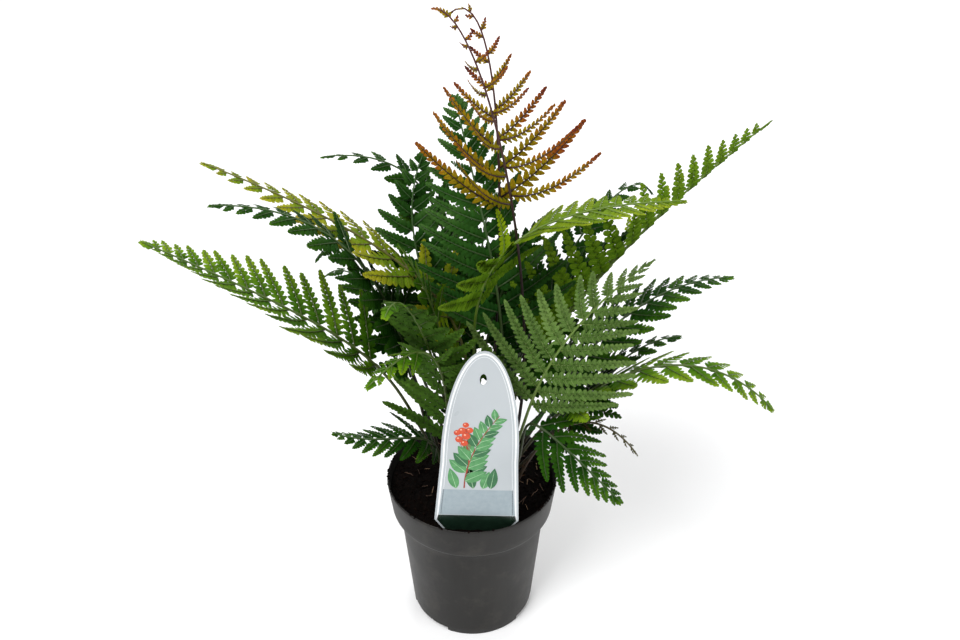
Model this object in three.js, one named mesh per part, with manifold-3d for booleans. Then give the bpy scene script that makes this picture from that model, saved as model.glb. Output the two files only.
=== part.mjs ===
import * as THREE from 'three';
import Module from 'manifold-3d';

const wasm = await Module();
wasm.setup();

// All lengths are millimetres. The origin is the middle of the pot's flat base, +Z is up and the
// label stands on the -Y side.

// Pot: round, tapered, with a wider collar and three drain notches in the foot
const POT_HEIGHT = 115;
const RIM_RADIUS = 60;
const COLLAR_BOTTOM_RADIUS = 57.2;
const COLLAR_BOTTOM_HEIGHT = 91.5;
const STEP_HEIGHT = 88;
const STEP_RADIUS = 51.8;
const BASE_RADIUS = 44.6;
const WALL = 1.4;
const FLOOR_THICKNESS = 2;
const EDGE_ROUND = 0.7;
const POT_SEGMENTS = 40;
const NOTCH_COUNT = 3;
const NOTCH_START = 196;
const NOTCH_SWEEP = 50;
const NOTCH_HEIGHT = 3;
const NOTCH_INNER_RADIUS = 40;

// Soil fills the pot to just under the rim
const GAP = 0.3;
const SOIL_EDGE_HEIGHT = 107.5;
const SOIL_RISE = 3;
const SOIL_SEGMENTS = 24;
const SOIL_LUMP = 0.9;
const HOLE_RADIUS = 2.3;
const HOLE_BOTTOM = 98;
const STIPE_FOOT = 98.5;
const CROWN_HEIGHT = 112;

// Label: thin arched tag standing in the soil against the front of the rim
const LABEL_Y = -49.5;
const LABEL_CENTRE_X = 2.8;
const LABEL_THICKNESS = 0.8;
const LABEL_FOOT_HEIGHT = 93;
const LABEL_FOOT_HALF = 11;
const LABEL_RIM_HEIGHT = 117;
const LABEL_RIM_HALF = 27.8;
const LABEL_SHOULDER_HEIGHT = 166;
const LABEL_SHOULDER_HALF = 24.6;
const LABEL_TOP_HEIGHT = 249;
const LABEL_LEAN = 2.2;
const LABEL_SLOT_HEIGHT = 229;
const LABEL_SLOT_HALF_WIDTH = 2.2;
const LABEL_SLOT_HALF_HEIGHT = 4.2;

// Stems and leaf blades
const BLADE_HALF = 0.35;
const STIPE_RADIUS = 1.3;
const TIP_RADIUS = 0.45;
const STIPE_STEPS = 6;
const PINNA_BASE_HALF = 1.1;
const PINNA_BASE_SHARE = 0.12;
const STAGGER = 0.32;
const ANGLE_CLOSING = 34;
const ANGLE_SPREAD = 4;
const LENGTH_SPREAD = 0.08;

// Outline of a frond and of a pinna
const FROND_SHOULDER = 0.86;
const FROND_WIDEST_AT = 0.2;
const FROND_TAPER = 1.1;
const SHORTEST_PINNA = 2;
const LAST_PAIR = 0.975;
const PAIR_CROWDING = 1.25;
const PINNA_WIDTH_SHARE = 0.19;
const PINNA_WIDTH_LEAST = 1.2;
const PINNA_ROOM_SHARE = 0.48;
const PINNA_FOOT_WIDTH = 0.7;
const PINNA_WIDEST_AT = 0.2;
const PINNA_TAPER = 0.55;
const LOBE_LENGTH = 22;
const MOST_LOBES = 3;
const FIRST_CUT = 0.04;
const LOBE_TIP_AT = 0.55;
const LOBE_FORWARD = 0.3;
const LOBE_DROP = 0.12;
const NECK = 0.5;
const NARROWEST_NECK = 0.8;

// Room that leaves keep from each other, from the pot and from the front of the label
const CLEARANCE = 1.7;
const MARGIN = 0.4;
const EDGE_PARTS = [0.12, 0.25, 0.38, 0.5, 0.62, 0.75, 0.88];
const STEM_PIECES = 20;
const STEM_ROOM = 1.7;
const POT_ROOM = 3;
const LOWEST_LEAF = 20;
const LABEL_ROOM = 5;
const SIGHT_SLOPE = 0.6;

// Each frond: root on the crown [x, y], handle of its first rise [x, y, z], a point half way
// along and its tip. bare: share without leaflets. pairs: pairs of pinnae. reach: longest pinna.
// facing: compass angle in degrees towards which the blade leans, counted from +X to +Y.
// open: angle in degrees between the stem and the lowest pinnae.
// sweep, fold and droop bend each pinna towards the frond's tip, its upper face and the ground.
// taper and width: how fast pinnae shorten towards the tip, and their half width as a share of
// their length, where these aren't the usual.
const FRONDS = [
  {
    name: 'frond_red_front', tone: 'red', root: [17, -5], rise: [42, 4, 66],
    mid: [28, -3, 298], tip: [-19, -8, 434],
    bare: 0.63, pairs: 8, reach: 58, facing: 56, open: 100, sweep: 0.5, fold: -0.4,
    taper: 2, width: 0.06, droop: 0,
  },
  {
    name: 'frond_red_back', tone: 'red', root: [7, 9], rise: [12, 3, 66],
    mid: [18, 20, 307], tip: [-12, 22, 424],
    bare: 0.6, pairs: 8, reach: 68, facing: 84, open: 62, sweep: 0.3, fold: -0.1,
    taper: 1.9, width: 0.08, droop: 0,
  },
  {
    name: 'frond_right_pale', tone: 'pale', root: [13, -14], rise: [31, -16, 54],
    mid: [37, -40, 205], tip: [102, -45, 306],
    bare: 0.44, pairs: 12, reach: 64, facing: -118, open: 66, sweep: 0.22, fold: 0,
    width: 0.3, droop: 0.05,
  },
  {
    name: 'frond_right_bright', tone: 'bright', root: [14, 5], rise: [10, 4, 87],
    mid: [63, 12, 238], tip: [179, 26, 362],
    bare: 0.36, pairs: 16, reach: 46, facing: -60, open: 66, sweep: 0.25, fold: 0.5,
    taper: 1.0, width: 0.3, droop: 0.03,
  },
  {
    name: 'frond_bluish_tall', tone: 'bluish', root: [2, 2], rise: [40, -20, 93],
    mid: [18, 6, 247], tip: [-9, 46, 371],
    bare: 0.45, pairs: 14, reach: 58, facing: 95, open: 70, sweep: 0.25, fold: 0, taper: 0.85, droop: 0.05,
  },
  {
    name: 'frond_bluish_left', tone: 'bluish', root: [-8, 9], rise: [21, -2, 87],
    mid: [-23, 26, 228], tip: [-30, 56, 331],
    bare: 0.45, pairs: 11, reach: 48, facing: 110, open: 70, sweep: 0.25, fold: 0, taper: 0.9, droop: 0.08,
  },
  {
    name: 'frond_left_long', tone: 'mid', root: [-14, -6], rise: [-46, -7, 105],
    mid: [-61, -15, 217], tip: [-196, -6, 300],
    bare: 0.42, pairs: 14, reach: 46, facing: 175, open: 66, sweep: 0.3, fold: 0.2,
    taper: 0.95, width: 0.36, droop: 0.06,
  },
  {
    name: 'frond_upper_left_olive', tone: 'olive', root: [-10, 1], rise: [13, -9, 107],
    mid: [-12, 6, 236], tip: [-162, 26, 337],
    bare: 0.36, pairs: 13, reach: 50, facing: 172, open: 66, sweep: 0.3, fold: 0, droop: 0.14,
  },
  {
    name: 'frond_upper_left_green', tone: 'dark', root: [-17, 0], rise: [-33, 3, 66],
    mid: [-49, -3, 244], tip: [-152, -6, 323],
    bare: 0.36, pairs: 12, reach: 54, facing: 182, open: 66, sweep: 0.25, fold: 0, droop: 0.22,
  },
  {
    name: 'frond_back_left', tone: 'dark', root: [-6, 15], rise: [-20, 16, 67],
    mid: [-13, 46, 250], tip: [-96, 62, 327],
    bare: 0.42, pairs: 9, reach: 41, facing: 140, open: 66, sweep: 0.25, fold: 0, droop: 0.14,
  },
  {
    name: 'frond_right_arching', tone: 'bright', root: [6, -3], rise: [4, -8, 120],
    mid: [5, -20, 268], tip: [128, 2, 321],
    bare: 0.5, pairs: 15, reach: 56, facing: 330, open: 78, sweep: 0.15, fold: 0.05,
    width: 0.3, droop: 0.1,
  },
  {
    name: 'frond_right_dark', tone: 'dark', root: [20, 4], rise: [33, -6, 48],
    mid: [72, 4, 206], tip: [170, 22, 259],
    bare: 0.36, pairs: 12, reach: 50, facing: 8, open: 72, sweep: 0.28, fold: 0, droop: 0.12,
  },
  {
    name: 'frond_right_low', tone: 'mid', root: [24, -9], rise: [4, -4, 42],
    mid: [78, -26, 205], tip: [186, -46, 202],
    bare: 0.36, pairs: 10, reach: 44, facing: -40, open: 66, sweep: 0.25, fold: 0, droop: 0.12,
  },
  {
    name: 'frond_right_lower_dark', tone: 'dark', root: [23, -2], rise: [30, -10, 31],
    mid: [72, -5, 181], tip: [136, 4, 225],
    bare: 0.28, pairs: 9, reach: 43, facing: 2, open: 66, sweep: 0.25, fold: 0, droop: 0.16,
  },
  {
    name: 'frond_front_right_droop', tone: 'dark', root: [20, -18], rise: [30, -18, 60],
    mid: [35, -33, 181], tip: [92, -74, 153],
    bare: 0.4, pairs: 9, reach: 46, facing: -38, open: 66, sweep: 0.25, fold: 0,
    width: 0.3, droop: 0.1,
  },
  {
    name: 'frond_front_left', tone: 'mid', root: [-12, -14], rise: [-8, -16, 61],
    mid: [-17, -34, 216], tip: [-58, -82, 246],
    bare: 0.26, pairs: 12, reach: 50, facing: 235, open: 66, sweep: 0.25, fold: 0, droop: 0.2,
  },
  {
    name: 'frond_front_middle', tone: 'mid', root: [-9, -9], rise: [-4, -8, 80],
    mid: [-25, -33, 238], tip: [-46, -80, 290],
    bare: 0.36, pairs: 11, reach: 50, facing: 250, open: 66, sweep: 0.25, fold: 0, droop: 0.15,
  },
  {
    name: 'frond_left_dark', tone: 'dark', root: [-20, 6], rise: [-10, 0, 60],
    mid: [-50, 1, 236], tip: [-94, -4, 286],
    bare: 0.28, pairs: 11, reach: 48, facing: 195, open: 66, sweep: 0.25, fold: 0, droop: 0.16,
  },
  {
    name: 'frond_left_low', tone: 'dark', root: [-22, -13], rise: [8, -4, 74],
    mid: [-37, -24, 165], tip: [-88, -36, 179],
    bare: 0.36, pairs: 9, reach: 30, facing: 190, open: 66, sweep: 0.25, fold: 0, droop: 0.1,
  },
  {
    name: 'frond_back_right', tone: 'dark', root: [8, 19], rise: [10, 8, 75],
    mid: [60, 54, 246], tip: [124, 78, 294],
    bare: 0.4, pairs: 10, reach: 39, facing: 35, open: 66, sweep: 0.25, fold: 0, droop: 0.14,
  },
  {
    name: 'frond_back_middle', tone: 'dark', root: [0, 22], rise: [0, 14, 70],
    mid: [6, 72, 236], tip: [26, 138, 262],
    bare: 0.4, pairs: 9, reach: 48, facing: 80, open: 66, sweep: 0.25, fold: 0, droop: 0.14,
  },
  {
    name: 'frond_right_inner', tone: 'dark', root: [14, 12], rise: [4, 5, 62],
    mid: [38, 25, 208], tip: [98, 14, 295],
    bare: 0.28, pairs: 11, reach: 50, facing: 30, open: 66, sweep: 0.25, fold: 0, droop: 0.14,
  },
  {
    name: 'frond_centre_back', tone: 'dark', root: [1, 12], rise: [4, 0, 62],
    mid: [9, 19, 205], tip: [48, 40, 293],
    bare: 0.36, pairs: 11, reach: 50, facing: 70, open: 66, sweep: 0.25, fold: 0, droop: 0.14,
  },
  {
    name: 'frond_centre_left', tone: 'mid', root: [-6, -5], rise: [-8, 1, 70],
    mid: [-16, -10, 216], tip: [-41, -30, 308],
    bare: 0.28, pairs: 11, reach: 50, facing: 170, open: 66, sweep: 0.25, fold: 0, droop: 0.14,
  },
  {
    name: 'frond_back_left_low', tone: 'dark', root: [-14, 15], rise: [-12, 12, 55],
    mid: [-52, 50, 206], tip: [-108, 88, 224],
    bare: 0.4, pairs: 8, reach: 43, facing: 146, open: 66, sweep: 0.25, fold: 0, droop: 0.14,
  },
  {
    name: 'frond_back_right_low', tone: 'dark', root: [15, 20], rise: [12, 14, 50],
    mid: [44, 66, 196], tip: [84, 118, 210],
    bare: 0.4, pairs: 8, reach: 43, facing: 52, open: 66, sweep: 0.25, fold: 0, droop: 0.14,
  },
  {
    name: 'frond_withered', tone: 'withered', root: [29, -17], rise: [6, -2, 36],
    mid: [56, -24, 170], tip: [107, -38, 161],
    bare: 0.55, pairs: 6, reach: 9, facing: -15, open: 66, sweep: 0.2, fold: 0.1, droop: 0.2,
  },
];

const TONES = {
  red: 0x9a6a24,
  pale: 0x6f8f55,
  bright: 0x7fa61f,
  bluish: 0x2f5f43,
  mid: 0x3c7428,
  olive: 0x8c9a32,
  dark: 0x24512a,
  withered: 0x6a6a3c,
};

// When a pinna would meet another leaf, these bends and lengths are tried in turn
const TRIALS = [
  [0, 1], [0.16, 1], [-0.16, 1], [0.32, 0.95], [-0.32, 0.95],
  [0, 0.75], [0.25, 0.75], [-0.25, 0.75], [0.5, 0.75], [-0.5, 0.75],
  [0, 0.5], [0.3, 0.5], [-0.3, 0.5], [0.6, 0.5], [-0.6, 0.5],
  [0, 0.3], [0.5, 0.3], [-0.5, 0.3],
];

const radians = (degrees) => degrees * Math.PI / 180;
const mix = (a, b, t) => a + (b - a) * t;
const UP = new THREE.Vector3(0, 0, 1);

// Small repeatable random numbers, 0 to 1
function makeDice(seed) {
  let state = seed;
  return () => {
    state = (state * 16807) % 2147483647;
    return state / 2147483647;
  };
}

// Sum of vectors with a factor each
function blend(...terms) {
  const out = new THREE.Vector3();
  for (const [vector, factor] of terms) {
    out.addScaledVector(vector, factor);
  }
  return out;
}

function toManifold(geometry) {
  const position = geometry.getAttribute('position');
  const index = geometry.getIndex();
  return new wasm.Manifold(new wasm.Mesh({
    numProp: 3,
    vertProperties: new Float32Array(position.array),
    triVerts: new Uint32Array(index.array),
  }));
}

// Merges the points of a closed geometry so that it can be cut and joined
function solidOf(geometry) {
  const source = geometry.index ? geometry.toNonIndexed() : geometry;
  const position = source.getAttribute('position');
  const places = new Map();
  const points = [];
  const corner = [];
  for (let i = 0; i < position.count; i += 1) {
    const p = [position.getX(i), position.getY(i), position.getZ(i)];
    const key = p.map((v) => Math.round(v * 1e4)).join(',');
    if (!places.has(key)) {
      places.set(key, points.length / 3);
      points.push(...p);
    }
    corner.push(places.get(key));
  }
  const faces = [];
  for (let i = 0; i < corner.length; i += 3) {
    const [a, b, c] = corner.slice(i, i + 3);
    if (a !== b && b !== c && a !== c) {
      faces.push(a, b, c);
    }
  }
  const merged = new THREE.BufferGeometry();
  merged.setAttribute('position', new THREE.Float32BufferAttribute(points, 3));
  merged.setIndex(faces);
  return toManifold(merged);
}

function geometryOf(manifold) {
  const mesh = manifold.getMesh();
  const geometry = new THREE.BufferGeometry();
  geometry.setAttribute('position', new THREE.Float32BufferAttribute(mesh.vertProperties, 3));
  geometry.setIndex(Array.from(mesh.triVerts));
  return geometry;
}

function nodeOf(name, geometry, colour, roughness) {
  geometry.computeVertexNormals();
  const material = new THREE.MeshStandardMaterial({ color: colour, roughness, metalness: 0 });
  const mesh = new THREE.Mesh(geometry, material);
  mesh.name = name;
  return mesh;
}

// Turns a profile of [radius, height] about the Z axis
function turned(profile, segments) {
  const points = profile.map(([radius, height]) => new THREE.Vector2(radius, height));
  const geometry = new THREE.LatheGeometry(points, segments);
  geometry.rotateX(Math.PI / 2);
  return geometry;
}

// Wedge of a ring from one angle to another, used to cut a drain notch
function ringWedge(inner, outer, bottom, top, from, sweep) {
  const shape = new THREE.Shape();
  shape.absarc(0, 0, outer, radians(from), radians(from + sweep), false);
  shape.absarc(0, 0, inner, radians(from + sweep), radians(from), true);
  const options = { depth: top - bottom, bevelEnabled: false, curveSegments: 5 };
  return new THREE.ExtrudeGeometry(shape, options).translate(0, 0, bottom);
}

function makePot() {
  const inner = [
    [0, FLOOR_THICKNESS],
    [BASE_RADIUS - WALL, FLOOR_THICKNESS],
    [STEP_RADIUS - WALL, STEP_HEIGHT + WALL],
    [COLLAR_BOTTOM_RADIUS - WALL, COLLAR_BOTTOM_HEIGHT + WALL],
    [RIM_RADIUS - WALL, POT_HEIGHT - EDGE_ROUND],
  ];
  const outer = [
    [RIM_RADIUS - WALL + EDGE_ROUND, POT_HEIGHT],
    [RIM_RADIUS, POT_HEIGHT - EDGE_ROUND],
    [COLLAR_BOTTOM_RADIUS, COLLAR_BOTTOM_HEIGHT],
    [STEP_RADIUS, STEP_HEIGHT],
    [BASE_RADIUS, EDGE_ROUND],
    [BASE_RADIUS - EDGE_ROUND, 0],
    [0, 0],
  ];
  let pot = solidOf(turned([...inner, ...outer].reverse(), POT_SEGMENTS));
  for (let i = 0; i < NOTCH_COUNT; i += 1) {
    const from = NOTCH_START + i * 360 / NOTCH_COUNT;
    const wedge = ringWedge(
      NOTCH_INNER_RADIUS, BASE_RADIUS + WALL, -1, NOTCH_HEIGHT, from, NOTCH_SWEEP,
    );
    pot = pot.subtract(solidOf(wedge));
  }
  return nodeOf('pot', geometryOf(pot), 0x454441, 0.6);
}

// Outline of the tag as [x, z] pairs, from the foot up the right side and down the left
function labelOutline() {
  const right = [[LABEL_FOOT_HALF, LABEL_FOOT_HEIGHT], [LABEL_RIM_HALF, LABEL_RIM_HEIGHT]];
  const steps = 9;
  for (let i = 0; i < steps; i += 1) {
    const angle = Math.PI / 2 * i / steps;
    const height = mix(LABEL_SHOULDER_HEIGHT, LABEL_TOP_HEIGHT, Math.sin(angle));
    right.push([LABEL_SHOULDER_HALF * Math.cos(angle), height]);
  }
  const left = right.map(([x, z]) => [-x, z]).reverse();
  return [...right, [0, LABEL_TOP_HEIGHT], ...left];
}

function makeLabel() {
  const shape = new THREE.Shape(labelOutline().map(([x, z]) => new THREE.Vector2(x, z)));
  const slot = new THREE.Path();
  slot.absellipse(0, LABEL_SLOT_HEIGHT, LABEL_SLOT_HALF_WIDTH, LABEL_SLOT_HALF_HEIGHT, 0, Math.PI * 2, true);
  shape.holes.push(slot);
  const options = { depth: LABEL_THICKNESS, bevelEnabled: false, curveSegments: 5 };
  const geometry = new THREE.ExtrudeGeometry(shape, options);
  geometry.rotateX(Math.PI / 2);
  geometry.translate(0, LABEL_THICKNESS / 2, -LABEL_RIM_HEIGHT);
  geometry.rotateY(radians(LABEL_LEAN));
  geometry.translate(LABEL_CENTRE_X, LABEL_Y, LABEL_RIM_HEIGHT);
  return nodeOf('label', geometryOf(solidOf(geometry)), 0xc9d2d6, 0.35);
}

// Lumpy top surface of the soil at a radius and angle
function soilHeight(radius, angle) {
  const swell = SOIL_RISE * (1 - (radius / RIM_RADIUS) ** 2);
  const lump = Math.sin(angle * 5 + radius * 0.21) + Math.sin(angle * 3 - radius * 0.33);
  return SOIL_EDGE_HEIGHT + swell + SOIL_LUMP * 0.5 * lump * Math.min(1, radius / 20);
}

function makeSoil() {
  const profile = [
    [0, FLOOR_THICKNESS + GAP],
    [BASE_RADIUS - WALL - GAP, FLOOR_THICKNESS + GAP],
    [STEP_RADIUS - WALL - GAP, STEP_HEIGHT + WALL + GAP],
    [COLLAR_BOTTOM_RADIUS - WALL - GAP, COLLAR_BOTTOM_HEIGHT + WALL + GAP],
    [RIM_RADIUS - WALL - GAP * 4, SOIL_EDGE_HEIGHT],
    [44, SOIL_EDGE_HEIGHT + 1],
    [30, SOIL_EDGE_HEIGHT + 1],
    [0, SOIL_EDGE_HEIGHT + 1],
  ];
  const geometry = turned(profile, SOIL_SEGMENTS);
  const position = geometry.getAttribute('position');
  for (let i = 0; i < position.count; i += 1) {
    if (position.getZ(i) > SOIL_EDGE_HEIGHT - 1) {
      const radius = Math.hypot(position.getX(i), position.getY(i));
      const angle = Math.atan2(position.getY(i), position.getX(i));
      position.setZ(i, soilHeight(radius, radius < 1 ? 0 : angle));
    }
  }
  let soil = solidOf(geometry);
  for (const frond of FRONDS) {
    const depth = CROWN_HEIGHT + 4 - HOLE_BOTTOM;
    const hole = new THREE.CylinderGeometry(HOLE_RADIUS, HOLE_RADIUS, depth, 6);
    hole.rotateX(Math.PI / 2);
    hole.translate(frond.root[0], frond.root[1], HOLE_BOTTOM + depth / 2);
    soil = soil.subtract(solidOf(hole));
  }
  const slotDepth = POT_HEIGHT - LABEL_FOOT_HEIGHT + 1;
  const slot = new THREE.BoxGeometry(2 * RIM_RADIUS, LABEL_THICKNESS + 2 * GAP, slotDepth);
  slot.translate(0, LABEL_Y, LABEL_FOOT_HEIGHT - 1 + slotDepth / 2);
  soil = soil.subtract(solidOf(slot));
  const parts = soil.decompose().sort((a, b) => b.volume() - a.volume());
  return nodeOf('soil', geometryOf(parts[0]), 0x1c1512, 0.95);
}

// A frond's curve, measured by its share of the length from crown to tip
class RachisPath {
  constructor(frond) {
    const [x, y] = frond.root;
    this.start = new THREE.Vector3(x, y, CROWN_HEIGHT);
    this.first = this.start.clone().add(new THREE.Vector3(...frond.rise));
    this.end = new THREE.Vector3(...frond.tip);
    const mid = new THREE.Vector3(...frond.mid);
    this.second = blend([mid, 8 / 3], [this.start, -1 / 3], [this.first, -1], [this.end, -1 / 3]);
    const lean = radians(frond.facing);
    this.lean = new THREE.Vector3(Math.cos(lean), Math.sin(lean), 0);
    this.lengths = [0];
    this.steps = 48;
    for (let i = 1; i <= this.steps; i += 1) {
      const piece = this.point(i / this.steps).distanceTo(this.point((i - 1) / this.steps));
      this.lengths.push(this.lengths[i - 1] + piece);
    }
    this.length = this.lengths[this.steps];
  }

  point(t) {
    const u = 1 - t;
    return blend(
      [this.start, u * u * u], [this.first, 3 * u * u * t],
      [this.second, 3 * u * t * t], [this.end, t * t * t],
    );
  }

  parameter(share) {
    const wanted = share * this.length;
    let i = 1;
    while (i < this.steps && this.lengths[i] < wanted) {
      i += 1;
    }
    const piece = this.lengths[i] - this.lengths[i - 1];
    return (i - 1 + (wanted - this.lengths[i - 1]) / piece) / this.steps;
  }

  // Place, forward direction, side direction and upper-face normal
  frame(share) {
    const t = this.parameter(share);
    const near = this.point(Math.min(1, t + 0.01));
    const forward = near.sub(this.point(Math.max(0, t - 0.01))).normalize();
    const rise = Math.max(-1, Math.min(1, forward.z));
    const level = Math.sqrt(1 - rise * rise);
    const above = blend([UP, level], [this.lean, -rise]);
    const side = new THREE.Vector3().crossVectors(forward, above).normalize();
    const normal = new THREE.Vector3().crossVectors(side, forward).normalize();
    return { place: this.point(t), forward, side, normal };
  }
}

const rachisRadius = (share) => mix(STIPE_RADIUS, TIP_RADIUS, share);

// Share of the way along the frond at which each pair of pinnae stands
function pairShare(frond, number) {
  const q = number / frond.pairs;
  return mix(frond.bare, LAST_PAIR, 1 - (1 - q) ** PAIR_CROWDING);
}

// Longest at the foot of the blade and shorter towards its tip
function pinnaLength(frond, share) {
  const u = (share - frond.bare) / (1 - frond.bare);
  const shoulder = mix(FROND_SHOULDER, 1, Math.min(1, u / FROND_WIDEST_AT));
  return frond.reach * shoulder * (1 - u) ** (frond.taper ?? FROND_TAPER) + SHORTEST_PINNA;
}

// Half width of a pinna at a share of its length
function pinnaHalfWidth(widest, x) {
  return widest * mix(PINNA_FOOT_WIDTH, 1, Math.min(1, x / PINNA_WIDEST_AT)) * (1 - x) ** PINNA_TAPER;
}

// Corner points of one pinna on one side (1 or -1), with the triangles of its middle surface.
// Points 0 and 1 are the lower and upper corners where it leaves the rachis.
function pinnaSheet(pinna, fold, shorten, margin) {
  const { frame, radius, step, hand, angle, widest, frond } = pinna;
  const length = pinna.length * shorten + margin;
  const wide = widest * mix(1, shorten, 0.5) + margin;
  const lobes = Math.max(1, Math.min(MOST_LOBES, Math.round(pinna.length * shorten / LOBE_LENGTH)));
  const out = blend(
    [frame.forward, Math.cos(angle)], [frame.side, hand * Math.sin(angle)],
    [frame.normal, (frond.fold + fold) / 2],
  ).normalize();
  const bend = blend([frame.forward, frond.sweep], [frame.normal, frond.fold + fold], [UP, -frond.droop]);
  const base = blend([frame.place, 1], [frame.side, hand * radius]);
  const rib = (x) => blend([base, 1], [out, length * x], [bend, length * x * x]);
  const across = (x) => {
    const along = blend([out, 1], [bend, 2 * x]).normalize();
    const lift = blend([frame.forward, 1], [along, -frame.forward.dot(along)]).normalize();
    const face = new THREE.Vector3().crossVectors(along, lift).multiplyScalar(hand);
    return { along, lift, face };
  };
  const points = [
    blend([base, 1], [frame.forward, -step]),
    blend([base, 1], [frame.forward, step]),
  ];
  const normals = [frame.normal, frame.normal];
  const triangles = [];
  const add = (point, normal) => {
    points.push(point);
    normals.push(normal);
    return points.length - 1;
  };
  const face = (a, b, c) => triangles.push(hand > 0 ? [a, b, c] : [a, c, b]);
  const cut = (k) => (k === 0 ? FIRST_CUT : k / lobes);
  let lower = 0;
  let upper = 1;
  for (let k = 1; k <= lobes; k += 1) {
    const x = mix(cut(k - 1), cut(k), LOBE_TIP_AT);
    const half = pinnaHalfWidth(wide, x);
    const here = across(x);
    const tipOf = (way) => add(blend(
      [rib(x), 1], [here.lift, way * half],
      [here.along, LOBE_FORWARD * half], [here.face, -LOBE_DROP * half],
    ), here.face);
    const high = tipOf(1);
    const low = tipOf(-1);
    const there = across(k / lobes);
    if (k === lobes) {
      const end = add(rib(1), there.face);
      face(lower, end, upper);
      face(upper, end, high);
      face(lower, low, end);
    } else {
      const neck = Math.max(NARROWEST_NECK, NECK * pinnaHalfWidth(wide, k / lobes));
      const left = add(blend([rib(k / lobes), 1], [there.lift, neck]), there.face);
      const right = add(blend([rib(k / lobes), 1], [there.lift, -neck]), there.face);
      face(lower, right, left);
      face(lower, left, upper);
      face(upper, left, high);
      face(lower, low, right);
      lower = right;
      upper = left;
    }
  }
  return { points, normals, triangles };
}

// Short segment through a sheet along its normal
function through(point, normal) {
  return [blend([point, 1], [normal, CLEARANCE]), blend([point, 1], [normal, -CLEARANCE])];
}

// Segments of a sheet: its edges, and short ones through it at its corners and edge middles
function probesOf(sheet, skip) {
  const probes = [];
  const seen = new Set();
  for (const [a, b, c] of sheet.triangles) {
    for (const [i, j] of [[a, b], [b, c], [c, a]]) {
      const key = i < j ? `${i},${j}` : `${j},${i}`;
      if (!seen.has(key)) {
        seen.add(key);
        probes.push([sheet.points[i], sheet.points[j]]);
        if (skip < sheet.points.length) {
          for (const part of EDGE_PARTS) {
            const place = blend([sheet.points[i], 1 - part], [sheet.points[j], part]);
            const normal = blend([sheet.normals[i], 1 - part], [sheet.normals[j], part]).normalize();
            probes.push(through(place, normal));
          }
        }
      }
    }
  }
  for (let i = skip; i < sheet.points.length; i += 1) {
    probes.push(through(sheet.points[i], sheet.normals[i]));
  }
  if (skip < sheet.points.length) {
    for (const [a, b, c] of sheet.triangles) {
      const middle = blend([sheet.points[a], 1 / 3], [sheet.points[b], 1 / 3], [sheet.points[c], 1 / 3]);
      probes.push(through(middle, sheet.normals[b]));
    }
  }
  return probes;
}

function obstacleOf(sheet, skip) {
  const box = new THREE.Box3().setFromPoints(sheet.points).expandByScalar(CLEARANCE);
  const faces = sheet.triangles.map((t) => t.map((i) => sheet.points[i]));
  return { box, faces, probes: probesOf(sheet, skip) };
}

function crosses([from, to], [a, b, c]) {
  const way = new THREE.Vector3().subVectors(to, from);
  const ab = new THREE.Vector3().subVectors(b, a);
  const ac = new THREE.Vector3().subVectors(c, a);
  const h = new THREE.Vector3().crossVectors(way, ac);
  const det = ab.dot(h);
  if (Math.abs(det) < 1e-9) {
    return false;
  }
  const s = new THREE.Vector3().subVectors(from, a);
  const u = s.dot(h) / det;
  if (u < 0 || u > 1) {
    return false;
  }
  const q = new THREE.Vector3().crossVectors(s, ab);
  const v = way.dot(q) / det;
  if (v < 0 || u + v > 1) {
    return false;
  }
  const t = ac.dot(q) / det;
  return t >= 0 && t <= 1;
}

function meets(one, other) {
  if (!one.box.intersectsBox(other.box)) {
    return false;
  }
  const hits = (probes, faces) => probes.some((p) => faces.some((f) => crosses(p, f)));
  return hits(one.probes, other.faces) || hits(other.probes, one.faces);
}

// Two crossed ribbons that stand for a stem when leaves are kept clear of it
function stemObstacles(path) {
  const list = [];
  for (let i = 0; i < STEM_PIECES; i += 1) {
    const a = path.frame(i / STEM_PIECES);
    const b = path.frame((i + 1) / STEM_PIECES);
    const reach = rachisRadius(i / STEM_PIECES) * STEM_ROOM + CLEARANCE;
    const points = [];
    for (const end of [a, b]) {
      for (const way of [end.side, end.normal]) {
        points.push(blend([end.place, 1], [way, reach]), blend([end.place, 1], [way, -reach]));
      }
    }
    const triangles = [[0, 1, 4], [1, 5, 4], [2, 3, 6], [3, 7, 6]];
    const normals = points.map(() => UP);
    list.push(obstacleOf({ points, normals, triangles }, points.length));
  }
  return list;
}

// The tag as two sheets, one on each face, with its margin
function labelObstacles() {
  const half = LABEL_RIM_HALF + LABEL_ROOM;
  const top = LABEL_TOP_HEIGHT + LABEL_ROOM;
  const list = [];
  for (const y of [LABEL_Y - CLEARANCE, LABEL_Y + CLEARANCE]) {
    const corner = (x, z) => new THREE.Vector3(LABEL_CENTRE_X + x, y, z);
    const points = [
      corner(-half, LABEL_FOOT_HEIGHT), corner(half, LABEL_FOOT_HEIGHT), corner(half, LABEL_SHOULDER_HEIGHT),
      corner(half / 2, top), corner(-half / 2, top), corner(-half, LABEL_SHOULDER_HEIGHT),
    ];
    const triangles = [[0, 1, 2], [0, 2, 5], [5, 2, 3], [5, 3, 4]];
    const normals = points.map(() => new THREE.Vector3(0, 1, 0));
    list.push(obstacleOf({ points, normals, triangles }, 0));
  }
  return list;
}

function clearOfPot(sheet) {
  return sheet.points.every((p) => {
    const radius = Math.hypot(p.x, p.y);
    return p.z > POT_HEIGHT + POT_ROOM || (radius > RIM_RADIUS + POT_ROOM && p.z > LOWEST_LEAF);
  });
}

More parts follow.
